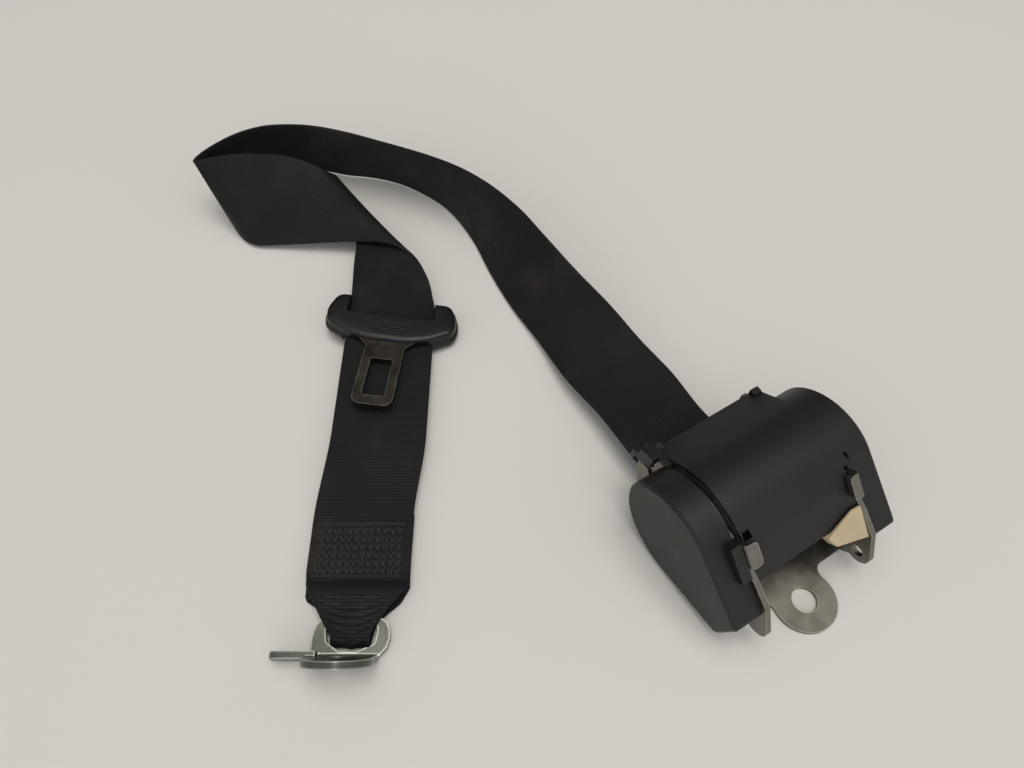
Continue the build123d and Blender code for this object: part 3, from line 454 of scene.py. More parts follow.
@dataclass(frozen=True)
class Steel(Finish):
    """Plated or bare steel: cloudy plating, rolling lines, scratches and tarnish, with lighter edges that are
    partly rubbed bright and partly a painted highlight.
    """

    tarnish: tuple[float, float, float] = (0.30, 0.25, 0.17)
    tarnish_share: float = 0.25
    line_way: tuple[float, float, float] = (60.0, 2600.0, 2600.0)
    line_depth: float = 0.00001
    edge_wear_and_highlight_tone: float = 1.0
    edge_reach: float = 0.0006

    def make(self) -> bpy.types.Material:
        """Builds the steel.

        Returns:
            The material.
        """
        material, tree, shader, where = self.shell()
        grain = tree.effect(EFFECTS.grain, Vector=where, Drift_Scale=110.0, Grain_Scale=1500.0)
        scuffs = tree.effect(EFFECTS.scuffs, Vector=where, Scratch_Scale=140.0, Thinness=0.02)
        drawn = tree.add("ShaderNodeVectorMath", operation="MULTIPLY")
        tree.feed(drawn, n0=where, n1=self.line_way)
        lines = tree.noise(drawn.outputs[0], 1.0, 3.0)
        cloud = tree.blend(grain.outputs["Drift"], self.tone(0.82), self.tone(1.08))
        dull = tree.math("MULTIPLY", scuffs.outputs["Rub"], self.tarnish_share)
        stained = tree.blend(dull, cloud, self.tarnish + (1.0,))
        scored = tree.blend(tree.math("MULTIPLY", scuffs.outputs["Scratch"], 0.4), stained, self.tone(1.35))
        # Edges are made lighter here: partly rubbed bright by handling, partly a painted highlight on the cut
        # edges.
        worn_and_highlit_edges = tree.effect(EFFECTS.edge_wear_and_highlight, Reach=self.edge_reach)
        scored = tree.blend(worn_and_highlit_edges.outputs["Mask"], scored, self.tone(self.edge_wear_and_highlight_tone))
        sheen = tree.math("MULTIPLY_ADD", grain.outputs["Drift"], 0.16, self.rough - 0.06)
        sheen = tree.math("MULTIPLY_ADD", lines.outputs[0], 0.12, sheen)
        tree.feed(shader, Base_Color=scored, Roughness=sheen, Metallic=1.0)
        height = tree.math("MULTIPLY_ADD", lines.outputs[0], 0.7,
                           tree.math("MULTIPLY", grain.outputs["Height"], 0.5))
        tree.relief(shader, height, self.line_depth)
        return material


@dataclass(frozen=True)
class Webbing(Finish):
    """Woven polyester webbing, ribbed across and rubbed a little grey, with faint brown stains, and with the
    ribs' light and shade painted into its colour.
    """

    relief_depth: float = 0.00016
    stain: tuple[float, float, float] = (0.030, 0.021, 0.014)
    map_name: str = "strap"

    def make(self) -> bpy.types.Material:
        """Builds the webbing.

        Returns:
            The material.
        """
        material, tree, shader, where = self.shell()
        cloth_map = tree.add("ShaderNodeUVMap", uv_map=self.map_name)
        weave = tree.effect(EFFECTS.weave, Vector=cloth_map.outputs[0])
        dust = tree.effect(EFFECTS.dust, Vector=where, Amount=0.02, Speck_Scale=1200.0)
        spots = tree.noise(where, 24.0, 4.0, 0.6)
        # Painted shade and highlight: the colour runs from a fifth to twice the base along the ribs and
        # yarns.
        weave_pattern = tree.blend(weave.outputs["Shade"], self.tone(0.2), self.tone(2.0))
        stained = tree.blend(tree.span(spots.outputs[0], 0.56, 0.74, 0.0, 0.55), weave_pattern, self.stain + (1.0,))
        dirty = tree.blend(dust.outputs["Mask"], stained, (0.28, 0.25, 0.22, 1.0))
        rubbed = tree.span(spots.outputs[0], 0.40, 0.62, -0.10, -0.40)
        rough = tree.math("MULTIPLY_ADD", weave.outputs["Shade"], rubbed, self.rough + 0.10)
        tree.feed(shader, Base_Color=dirty, Roughness=rough, Specular_IOR_Level=0.23, Sheen_Weight=0.02,
                  Sheen_Roughness=0.45)
        tree.relief(shader, weave.outputs["Height"], self.relief_depth)
        return material


@dataclass(frozen=True)
class Thread(Finish):
    """Twisted sewing thread."""

    def make(self) -> bpy.types.Material:
        """Builds the thread.

        Returns:
            The material.
        """
        material, tree, shader, where = self.shell()
        grain = tree.effect(EFFECTS.grain, Vector=where, Grain_Scale=5200.0, Drift_Scale=400.0)
        colour = tree.blend(grain.outputs["Drift"], self.tone(0.7), self.tone(1.3))
        rough = tree.math("MULTIPLY_ADD", grain.outputs["Height"], 0.2, self.rough)
        tree.feed(shader, Base_Color=colour, Roughness=rough, Sheen_Weight=0.1)
        tree.relief(shader, grain.outputs["Height"], 0.00006)
        return material


@dataclass(frozen=True)
class Painted(Finish):
    """Matt studio floor."""

    def make(self) -> bpy.types.Material:
        """Builds the floor's material.

        Returns:
            The material.
        """
        material, tree, shader, where = self.shell()
        grain = tree.effect(EFFECTS.grain, Vector=where, Grain_Scale=900.0, Drift_Scale=3.0)
        colour = tree.blend(grain.outputs["Drift"], self.tone(0.985), self.tone(1.0))
        tree.feed(shader, Base_Color=colour, Roughness=self.rough)
        tree.relief(shader, grain.outputs["Height"], 0.00004)
        return material


@dataclass
class Finishes:
    """The belt's finishes, each made into a material the first time it is used."""

    black: Finish = MouldedPlastic("black moulded plastic", "black_plastic", (0.0088, 0.0072, 0.0062), 0.48)
    grip: Finish = MouldedPlastic("grip plastic", "black_plastic", (0.0038, 0.0037, 0.0039), 0.38, dust=0.015)
    cream: Finish = MouldedPlastic("cream nylon", "cream_nylon", (0.50, 0.40, 0.25), 0.42, 0.00002, 0.12)
    white: Finish = MouldedPlastic("white nylon", "white_nylon", (0.74, 0.72, 0.66), 0.40, 0.00002, 0.10)
    # The edge tones paint a highlight on the cut edges as well as rubbing; the tongue's and the anchor's are
    # raised most, the anchor's over a wider rim.
    zinc: Finish = Steel("zinc-plated steel", "zinc_steel", (0.215, 0.200, 0.170), 0.31, edge_wear_and_highlight_tone=2.6)
    bright: Finish = Steel("bright tongue steel", "bright_steel", (0.125, 0.110, 0.085), 0.22,
                           (0.20, 0.16, 0.10), 0.5, (2600.0, 2600.0, 60.0), edge_wear_and_highlight_tone=7.0)
    plated: Finish = Steel("plated anchor steel", "zinc_steel", (0.115, 0.120, 0.102), 0.24,
                           (0.17, 0.155, 0.09), 0.35, edge_wear_and_highlight_tone=4.2, edge_reach=0.0015)
    hard: Finish = Steel("hardened steel", "hard_steel", (0.46, 0.45, 0.44), 0.34)
    spring: Finish = Steel("blued spring steel", "spring_steel", (0.16, 0.18, 0.24), 0.30)
    cast: Finish = Steel("cast alloy", "die_cast", (0.60, 0.60, 0.60), 0.48, (0.4, 0.4, 0.4), 0.1,
                         (900.0, 900.0, 900.0), 0.00003)
    webbing: Finish = Webbing("black webbing", "webbing", (0.0060, 0.0058, 0.0062), 0.68)
    thread: Finish = Thread("black thread", "thread", (0.0075, 0.0070, 0.0070), 0.5)
    made: dict[str, bpy.types.Material] = field(default_factory=dict)

    def material(self, finish: Finish) -> bpy.types.Material:
        """Gives the finish's material.

        Args:
            finish: one of the finishes above.

        Returns:
            The material, made once.
        """
        if finish.name not in self.made:
            self.made[finish.name] = finish.make()
        return self.made[finish.name]


# Mesh helpers
@dataclass
class Workshop:
    """Turns meshes into pieces of the belt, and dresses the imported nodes."""

    nodes: dict[str, bpy.types.Object]
    finishes: Finishes

    def piece(self, name: str, mesh: bpy.types.Mesh, finish: Finish, body: Body,
              stands_for: tuple[str, ...] = ()) -> bpy.types.Object:
        """Adds a piece of the belt to the scene.

        Args:
            name: the piece's name.
            mesh: its mesh, in place.
            finish: what it is made of.
            body: the body that it rides on.
            stands_for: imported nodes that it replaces.

        Returns:
            The new object.
        """
        obj = add_object(name, mesh)
        mesh.materials.clear()
        mesh.materials.append(self.finishes.material(finish))
        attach(obj, body.value)
        if stands_for:
            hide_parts(*stands_for)
        LOG.info("%s: %d faces on %s", name, len(mesh.polygons), body.value)
        return obj

    def dress(self, node: str, finish: Finish) -> None:
        """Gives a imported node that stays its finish.

        Args:
            node: the node's name.
            finish: what it is made of.
        """
        obj = self.nodes[node]
        material = self.finishes.material(finish)
        if not obj.material_slots:
            obj.data.materials.append(material)
        for place in obj.material_slots:
            place.link = "OBJECT"
            place.material = material
        LOG.info("%s: packed node in %s", node, finish.name)

    def softened(self, node: str, finish: Finish, body: Body, width: float, steps: int = 2,
                 sharp: float = 32.0) -> bpy.types.Object:
        """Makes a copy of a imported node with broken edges, to stand for it.

        Args:
            node: the node's name.
            finish: what it is made of.
            body: the body that it rides on.
            width: how wide an edge is broken, in millimetres.
            steps: faces across a broken edge.
            sharp: edges sharper than this many degrees are broken.

        Returns:
            The new object.
        """
        mesh = self.nodes[node].data.copy()
        mesh.name = f"{node}_skin"
        work = bmesh.new()
        work.from_mesh(mesh)
        bmesh.ops.remove_doubles(work, verts=work.verts, dist=2e-6)
        bmesh.ops.dissolve_limit(work, angle_limit=math.radians(0.4), verts=work.verts, edges=work.edges)
        limit = math.radians(sharp)
        edges = [e for e in work.edges if len(e.link_faces) == 2 and e.calc_face_angle(0.0) > limit
                 and e.calc_length() > 1.5 * width * MM]
        bmesh.ops.bevel(work, geom=edges, offset=width * MM, offset_type="OFFSET", segments=steps,
                        profile=0.5, affect="EDGES", clamp_overlap=True)
        bmesh.ops.recalc_face_normals(work, faces=work.faces)
        work.to_mesh(mesh)
        work.free()
        finish_shading(mesh, HARD_CREASE)
        obj = self.piece(f"{node}_skin", mesh, finish, body, (node,))
        even = obj.modifiers.new("even faces", "WEIGHTED_NORMAL")
        even.keep_sharp = True
        return obj


def add_object(name: str, data: bpy.types.ID) -> bpy.types.Object:
    """Makes an object of the data and links it into the scene."""
    obj = bpy.data.objects.new(name, data)
    bpy.context.scene.collection.objects.link(obj)
    return obj


def evaluated_mesh(obj: bpy.types.Object) -> bpy.types.Mesh:
    """Gives the object's mesh with its modifiers applied."""
    bpy.context.view_layer.update()
    seen = obj.evaluated_get(bpy.context.evaluated_depsgraph_get())
    return bpy.data.meshes.new_from_object(seen)


def finish_shading(mesh: bpy.types.Mesh, angle: float) -> None:
    """Shades a mesh smooth, but for edges sharper than an angle in degrees."""
    mesh.shade_smooth()
    mesh.set_sharp_from_angle(angle=math.radians(angle))


def mesh_from_rings(name: str, rings: np.ndarray, closed_ends: bool = True) -> bpy.types.Mesh:
    """Joins rings of points into a tube.

    Args:
        name: the mesh's name.
        rings: points in metres, as rows by points round a row by 3.
        closed_ends: whether the first and last ring get a face.

    Returns:
        The mesh, with faces outwards.
    """
    rows, count = rings.shape[:2]
    index = np.arange(rows * count).reshape(rows, count)
    beside = np.roll(index, -1, axis=1)
    quads = np.stack([index[:-1], beside[:-1], beside[1:], index[1:]], axis=-1).reshape(-1, 4)
    faces = [tuple(q) for q in quads.tolist()]
    if closed_ends:
        faces.append(tuple(index[0][::-1].tolist()))
        faces.append(tuple(index[-1].tolist()))
    mesh = bpy.data.meshes.new(name)
    mesh.from_pydata(rings.reshape(-1, 3).tolist(), [], faces)
    mesh.update()
    turn_outwards(mesh)
    return mesh


def turn_outwards(mesh: bpy.types.Mesh) -> None:
    """Recalculates a mesh's normals so that its faces point outwards."""
    work = bmesh.new()
    work.from_mesh(mesh)
    bmesh.ops.recalc_face_normals(work, faces=work.faces)
    work.to_mesh(mesh)
    work.free()


def write_map(mesh: bpy.types.Mesh, name: str, places: np.ndarray) -> None:
    """Writes a map of the surface onto a mesh.

    Args:
        mesh: the mesh.
        name: the map's name.
        places: one pair for each vertex, in metres.
    """
    layer = mesh.uv_layers.new(name=name)
    corners = np.empty(len(mesh.loops), dtype=np.int64)
    mesh.loops.foreach_get("vertex_index", corners)
    layer.data.foreach_set("uv", places[corners].astype(np.float32).ravel())


def smooth_line(points: np.ndarray, knots: np.ndarray, wanted: np.ndarray) -> np.ndarray:
    """Runs a smooth curve through points at uneven spacing.

    Args:
        points: the points, as rows of 3.
        knots: how far along each point lies.
        wanted: how far along the results lie.

    Returns:
        The points on the curve.
    """
    gaps = np.diff(knots)[:, None]
    slopes = np.diff(points, axis=0) / gaps
    middle = (slopes[1:] * gaps[:-1] + slopes[:-1] * gaps[1:]) / (gaps[1:] + gaps[:-1])
    tangents = np.vstack([slopes[:1], middle, slopes[-1:]])
    cell = np.clip(np.searchsorted(knots, wanted, side="right") - 1, 0, len(knots) - 2)
    step = gaps[cell]
    t = ((wanted - knots[cell]) / step[:, 0])[:, None]
    return ((2 * t**3 - 3 * t**2 + 1) * points[cell] + (t**3 - 2 * t**2 + t) * step * tangents[cell]
            + (3 * t**2 - 2 * t**3) * points[cell + 1] + (t**3 - t**2) * step * tangents[cell + 1])


def eased(points: np.ndarray, spread: float) -> np.ndarray:
    """Evens out a line of points and keeps both of its ends.

    Args:
        points: the points, as rows of 3.
        spread: how many points to each side are averaged, as a standard deviation.

    Returns:
        The evened points.
    """
    reach = int(3 * spread)
    weights = np.exp(-0.5 * (np.arange(-reach, reach + 1) / spread) ** 2)
    before = 2 * points[0] - points[reach:0:-1]
    after = 2 * points[-1] - points[-2:-reach - 2:-1]
    padded = np.vstack([before, points, after])
    return np.column_stack([np.convolve(padded[:, k], weights / weights.sum(), "valid") for k in range(3)])


def unit(vectors: np.ndarray) -> np.ndarray:
    """Gives each row unit length."""
    return vectors / np.linalg.norm(vectors, axis=-1, keepdims=True)


# Webbing
def strap_section(inner_part: np.ndarray) -> tuple[np.ndarray, np.ndarray, np.ndarray, np.ndarray]:
    """Goes once round the strap's flat section, along its upper face and back along its lower one.

    Args:
        inner_part: places between the two edges, as shares of the width.

    Returns:
        For each point its share of the width, its face as 1 or -1, its distance from the nearer edge in
        millimetres, and how much of the full thickness it has there.
    """
    across = np.concatenate([[0.0], inner_part, [1.0], inner_part[::-1]])
    side = np.concatenate([[0.0], np.ones(len(inner_part)), [0.0], -np.ones(len(inner_part))])
    edge = np.minimum(across, 1 - across) * STRAP_WIDE
    rounding = np.sqrt(np.clip(1 - (1 - np.clip(edge / EDGE_ROUND, 0, 1)) ** 2, 0, 1))
    return across, side, edge, rounding


@dataclass
class Strap:
    """The free webbing, from under the reel to the stitches, laid out as in the photograph.

    Each station is the strap's inner and outer edge on the table, in millimetres.
    """

    shop: Workshop
    rib: float = 1.5
    rib_high: float = 0.12
    rows_per_rib: int = 3
    columns: int = 15
    selvedge: float = 1.6
    rib_fade: float = 0.8
    bead_high: float = 0.10
    bead_in: float = 0.9
    bead_wide: float = 0.55
    rulings: int = 2600
    ease: float = 2.0
    fold_ease: float = 2.5
    fold: tuple[int, int, int, int] = (27, 30, 35, 38)
    inside: tuple[Ruling, ...] = (
        ((-24.75, 46.0, 4.1), (21.75, 46.0, 4.1)),
        ((-24.75, 54.0, 4.3), (21.75, 54.0, 4.3)),
        ((-24.75, 82.2, 9.4), (21.75, 82.2, 9.4)),
    )
    rise: float = STRAP_WIDE / 2 * math.sin(math.radians(4.0))
    free: tuple[Ruling, ...] = (
        ((57.2, -51.0, 14.5), (95.2, -24.7, 12.5)),
        ((42.8, -27.3, 14.0), (81.9, -2.4, 14.0)),
        ((27.7, -3.9, 10.0), (67.1, 16.1, 17.0)),
        ((14.2, 24.6, 4.0), (50.9, 32.9, 26.0)),
        ((-1.0, 51.5, 1.6), (33.4, 49.8, 34.0)),
        ((-12.6, 75.9, 1.3), (17.4, 68.8, 39.5)),
        ((-22.3, 99.6, 1.3), (2.6, 88.3, 42.0)),
        ((-30.4, 114.5, 1.3), (-12.5, 103.0, 44.0)),
        ((-40.3, 128.3, 1.3), (-28.2, 114.6, 45.0)),
        ((-53.4, 139.6, 1.4), (-44.3, 122.6, 46.0)),
        ((-70.0, 149.8, 1.5), (-61.0, 129.4, 46.5)),
        ((-87.5, 155.2, 1.8), (-77.4, 136.0, 46.5)),
        ((-104.0, 157.4, 2.0), (-95.3, 143.0, 46.5)),
        ((-120.0, 161.5, 2.0), (-115.1, 148.6, 46.5)),
        ((-136.2, 163.0, 2.0), (-131.0, 150.0, 46.5)),
        ((-151.8, 162.0, 2.0), (-146.0, 148.6, 46.3)),
        ((-165.0, 156.5, 1.6), (-160.0, 143.0, 45.6)),
        ((-173.0, 148.0, 1.4), (-170.6, 135.6, 44.5)),
        ((-175.2, 135.4, 1.3), (-177.2, 130.0, 43.5)),
        ((-171.0, 118.8, 1.3), (-181.3, 126.3, 42.0)),
        ((-160.0, 102.0, 1.6), (-180.6, 125.2, 41.3)),
        ((-152.5, 96.6, 2.5), (-170.6, 127.8, 42.0)),
        ((-140.0, 95.2, 4.0), (-156.3, 130.2, 42.0)),
        ((-126.2, 94.0, 6.0), (-143.0, 131.4, 41.0)),
        ((-112.8, 93.0, 8.0), (-131.2, 131.8, 39.4)),
        ((-100.0, 91.9, 10.0), (-121.7, 130.7, 37.0)),
        ((-86.8, 90.6, 11.5), (-112.9, 129.2, 33.5)),
        ((-73.7, 88.3, 13.0), (-107.2, 128.2, 29.8)),
        ((-69.0, 87.4, 13.0), (-105.2, 130.6, 26.6)),
        ((-64.9, 86.0, 12.6), (-103.9, 132.0, 22.8)),
        ((-60.7, 83.9, 11.8), (-102.9, 131.4, 18.2)),
        ((-56.8, 81.1, 10.7), (-102.0, 128.4, 13.8)),
        ((-53.4, 77.6, 9.5), (-100.4, 123.4, 10.6)),
        ((-50.4, 72.4, 8.5), (-97.0, 114.0, 8.6)),
        ((-46.6, 63.6, 7.3), (-91.4, 96.5, 8.4)),
        ((-44.3, 53.4, 6.5), (-90.3, 76.4, 9.0)),
    )
    lap: tuple[tuple[float, float, float, float], ...] = (
        (-42.3, 42.6, -88.9, 52.0),
        (-42.33, 30.0, -88.9, 40.0),
        (-42.42, -5.0, -88.9, -4.0),
        (-42.48, -26.0, -88.9, -25.4),
        (-42.5, -36.0, -88.9, -35.4),
    )
    lap_high: float = 8.0
    end: tuple[Ruling, ...] = (
        ((-45.9, -78.0, 5.6), (-92.4, -78.0, 5.6)),
        ((-45.75, -91.0, 5.6), (-92.25, -91.0, 5.6)),
        ((-45.6, -104.0, 5.6), (-92.1, -104.0, 5.6)),
    )
    stands_for: tuple[str, ...] = ("webbing_exit", "webbing_shoulder", "webbing_crest", "webbing_turn",
                                   "webbing_front", "webbing_fold", "webbing_lap")

    def stations(self) -> tuple[np.ndarray, np.ndarray]:
        """Gives the two edges' stations in the retractor's axes.

        Returns:
            Points of the inner edge and of the outer edge, in metres.
        """
        flat = [((a, b, self.lap_high - self.rise), (c, d, self.lap_high + self.rise))
                for a, b, c, d in self.lap]
        rulings = [tuple(Vector(p) * MM for p in pair) for pair in self.inside]
        rulings += [tuple(lay(*p) for p in pair) for pair in (*self.free, *flat, *self.end)]
        inner, outer = zip(*rulings)
        return np.array([tuple(p) for p in inner]), np.array([tuple(p) for p in outer])

    def surface(self) -> tuple[np.ndarray, np.ndarray, np.ndarray, np.ndarray]:
        """Gives the middle surface on a dense set of rulings.

        Returns:
            Inner edge, outer edge, unit normal, and the two edges' lengths so far as two columns.
        """
        inner, outer = self.stations()
        steps = np.linalg.norm(np.diff((inner + outer) / 2, axis=0), axis=1)
        knots = np.concatenate([[0.0], np.cumsum(steps)])
        wanted = np.linspace(0.0, knots[-1], self.rulings)
        step = wanted[1] / MM
        in_fold = np.interp(wanted, (knots[self.fold[0]], knots[self.fold[1]], knots[self.fold[2]],
                                     knots[self.fold[3]]), (0.0, 1.0, 1.0, 0.0))[:, None]
        a, b = (smooth_line(edge, knots, wanted) for edge in (inner, outer))
        a, b = (eased(edge, self.ease / step) * (1 - in_fold) + eased(edge, self.fold_ease / step) * in_fold
                for edge in (a, b))
        run = np.gradient((a + b) / 2, axis=0)
        normal = unit(np.cross(b - a, run))
        lengths = [np.concatenate([[0.0], np.cumsum(np.linalg.norm(np.diff(e, axis=0), axis=1))])
                   for e in (a, b)]
        lengths[1] *= lengths[0][-1] / lengths[1][-1]
        return a, b, normal, np.stack(lengths, axis=1)

    def build(self) -> bpy.types.Object:
        """Builds the strap with its ribs and selvedges, on a grid that lies as the yarns do.

        Returns:
            The strap.
        """
        a, b, normal, lengths = self.surface()
        total = lengths[-1, 0]
        rows = int(total / (self.rib * MM) * self.rows_per_rib)
        along = np.linspace(0.0, total, rows)
        inner_part = np.concatenate([[0.007, 0.02, 0.042], np.linspace(0.09, 0.91, self.columns),
                                     [0.958, 0.98, 0.993]])
        across, side, edge, rounding = strap_section(inner_part)
        bead = self.bead_high * np.exp(-((edge - self.bead_in) / self.bead_wide) ** 2)
        thick = side * (rounding * STRAP_THICK / 2 + bead * rounding)
        ribbed = np.clip((edge - self.selvedge) / self.rib_fade, 0, 1)
        rings = np.empty((rows, len(across), 3))
        places = np.empty((rows, len(across), 2))
        ruling = np.arange(len(a), dtype=float)
        wave = np.sin(along / (self.rib * MM) * math.tau)
        for k, u in enumerate(across):
            reach = lengths[:, 0] * (1 - u) + lengths[:, 1] * u
            at = np.interp(along, reach, ruling)
            low = np.clip(at.astype(int), 0, len(a) - 2)
            part = (at - low)[:, None]
            pick = [v[low] * (1 - part) + v[low + 1] * part for v in (a, b, normal)]
            lift = thick[k] + side[k] * ribbed[k] * self.rib_high * wave
            rings[:, k] = pick[0] * (1 - u) + pick[1] * u + unit(pick[2]) * lift[:, None] * MM
            places[:, k, 0] = u * STRAP_WIDE * MM
            places[:, k, 1] = along
        mesh = mesh_from_rings("webbing_strap", rings)
        write_map(mesh, "strap", places.reshape(-1, 2))
        finish_shading(mesh, CLOTH_CREASE)
        strap = self.shop.piece("webbing_strap", mesh, self.shop.finishes.webbing, Body.RETRACTOR,
                                self.stands_for)
        LOG.info("strap is %.3f m long", total)
        return strap


@dataclass
class AnchorLoop:
    """End of the webbing: gathered, round the anchor's bar, and back under itself."""

    shop: Workshop
    bar: Point = (-68.85, -125.0, 4.3)
    inside_round: float = 2.61
    slack: float = 8.0
    start: float = -21.0
    tail: float = -49.0
    over: float = 1.3
    slot_half: float = 10.8
    columns: int = 48
    row: float = 0.375
    gather_high: float = 0.26
    ridge_step: float = 3.4
    ridge_bow: float = 4.5
    droop_low: float = 0.5
    under_droop: float = 0.2
    under_share: float = 0.35
    thinning: float = 0.12
    lowest: float = -3.95

    def path(self) -> np.ndarray:
        """Gives the loop's middle line, as distance towards the anchor and height over the bar.

        Returns:
            Points in millimetres, one row apart.
        """
        mid = self.inside_round + STRAP_THICK / 2
        under = self.over - STRAP_THICK - 0.06
        line = [(self.start, self.over), (-17.0, self.over + 0.35), (-13.0, mid), (-4.0, mid + 0.1),
                (self.slack, mid)]
        line += [(self.slack + mid * math.sin(t), mid * math.cos(t)) for t in np.linspace(0.25, 2.9, 12)]
        line += [(self.slack, -mid), (-4.0, -mid + 0.05), (-13.0, -mid + 0.1), (-20.0, -0.9),
                 (self.start - 3.0, under), (-36.0, under), (self.tail, under)]
        points = np.array(line)
        knots = np.concatenate([[0.0], np.cumsum(np.linalg.norm(np.diff(points, axis=0), axis=1))])
        flat = np.column_stack([points, np.zeros(len(points))])
        return smooth_line(flat, knots, np.arange(0.0, knots[-1], self.row))[:, :2]

    def half_widths(self, at: float, under: bool) -> tuple[float, float]:
        """Gives the loop's reach to the photograph's left and right.

        Args:
            at: distance towards the anchor, in millimetres.
            under: whether this is the lower layer.

        Returns:
            Both reaches in millimetres.
        """
        wide = STRAP_WIDE / 2
        if under:
            return (float(np.interp(at, (-11.0, -9.0, -3.5, 2.0, self.slack),
                                    (wide, wide - 1.0, 13.5, 9.6, 8.4))),
                    float(np.interp(at, (-15.0, -8.0, -2.0, 2.0, self.slack),
                                    (wide, 19.5, 12.6, 9.6, 8.4))))
        return (float(np.interp(at, (self.start, -14.8, -4.5, -0.2, 4.1, self.slack),
                                (wide, 22.3, 16.4, 13.9, 11.0, 8.6))),
                float(np.interp(at, (self.start, -14.0, -4.5, -0.2, 4.1, self.slack),
                                (wide, 23.1, 15.2, 12.2, 9.9, 8.6))))

    def build(self) -> bpy.types.Object:
        """Builds the loop, with its gathers at the bar.

        Returns:
            The loop.
        """
        path = self.path()
        run = unit(np.gradient(path, axis=0))
        out = np.column_stack([-run[:, 1], run[:, 0]])
        inner_part = np.concatenate([[0.008, 0.03], np.linspace(0.08, 0.92, self.columns), [0.97, 0.992]])
        across, side, _, rounding = strap_section(inner_part)
        along_way, up = lay_way(0, -1, 0), Vector((0, 0, 1))
        side_way = along_way.cross(up)
        rings = np.empty((len(path), len(across), 3))
        places = np.empty((len(path), len(across), 2))
        turned = int(np.argmax(path[:, 0]))
        for row, (at, high) in enumerate(path):
            under = row > turned
            left, right = self.half_widths(at, under)
            tight = 1 - ((left + right) / 2 - self.slot_half) / (STRAP_WIDE / 2 - self.slot_half)
            tight = min(max(tight, 0.0), 1.0)
            share = (across - 0.5) * 2
            gather = self.gather_high * tight * np.cos(share * math.pi * 2.6 + 0.6)
            ridge = at - self.ridge_bow * (1 - share ** 2)
            gather += self.gather_high * tight * np.cos(ridge / self.ridge_step * math.tau)
            droop = -self.droop_low * tight * np.abs(share) ** 3 * (self.under_droop if under else 1.0)
            lift = side * rounding * STRAP_THICK / 2 * (1 - self.thinning * tight)
            offset = lift + (gather + droop) * (self.under_share if under else 1.0)
            x = np.where(share > 0, share * left, share * right)
            a = at + out[row, 0] * offset
            z = np.maximum(high + out[row, 1] * offset, self.lowest)
            base = np.array(tuple(lay(*self.bar)))
            rings[row] = (base + np.outer(x, side_way) * MM + np.outer(a, along_way) * MM
                          + np.outer(z, up) * MM)
            places[row, :, 0] = across * STRAP_WIDE * MM
            places[row, :, 1] = row * self.row * MM
        mesh = mesh_from_rings("anchor_loop", rings)
        write_map(mesh, "strap", places.reshape(-1, 2))
        finish_shading(mesh, CLOTH_CREASE)
        loop = self.shop.piece("anchor_loop", mesh, self.shop.finishes.webbing, Body.RETRACTOR,
                               ("webbing_loop",))
        return loop


@dataclass
class WoundStrap:
    """The webbing that is still on the reel, layer on layer."""

    shop: Workshop
    axis: tuple[float, float] = (48.0, 30.0)
    middle: float = -1.5
    core: float = 10.7
    outside: float = 24.4
    pitch: float = 1.2
    layer: float = 1.08
    step: float = 3.0

    def build(self) -> bpy.types.Object:
        """Builds the spiral of webbing.

        Returns:
            The winding.
        """
        turns = (self.outside - self.core) / self.pitch
        angles = np.arange(0.0, 360.0 * turns, self.step)
        radius = self.core + angles / 360.0 * self.pitch
        turn = np.radians(-90.0 + angles - 360.0 * turns)
        across = np.array([0.0, 0.006, 0.02, 0.98, 0.994, 1.0, 0.994, 0.98, 0.02, 0.006])
        side = np.array([0.0, 0.7, 1.0, 1.0, 0.7, 0.0, -0.7, -1.0, -1.0, -0.7])
        sway = 0.25 * np.sin(np.radians(angles) * 0.37)
        reach = radius[:, None] + side * self.layer / 2
        x = self.middle + (across - 0.5) * STRAP_WIDE + sway[:, None]
        y = self.axis[0] + reach * np.cos(turn)[:, None]
        z = self.axis[1] + reach * np.sin(turn)[:, None]
        rings = np.stack([x, y, z], axis=-1) * MM
        run = np.concatenate([[0.0], np.cumsum(radius[1:] * math.radians(self.step))]) * MM
        places = np.stack(np.broadcast_arrays(across * STRAP_WIDE * MM, run[:, None]), axis=-1)
        mesh = mesh_from_rings("wound_layers", rings)
        write_map(mesh, "strap", places.reshape(-1, 2))
        finish_shading(mesh, CLOTH_CREASE)
        coil = self.shop.piece("wound_layers", mesh, self.shop.finishes.webbing, Body.REEL,
                               ("wound_webbing",))
        LOG.info("winding is %.3f m long", run[-1])
        return coil


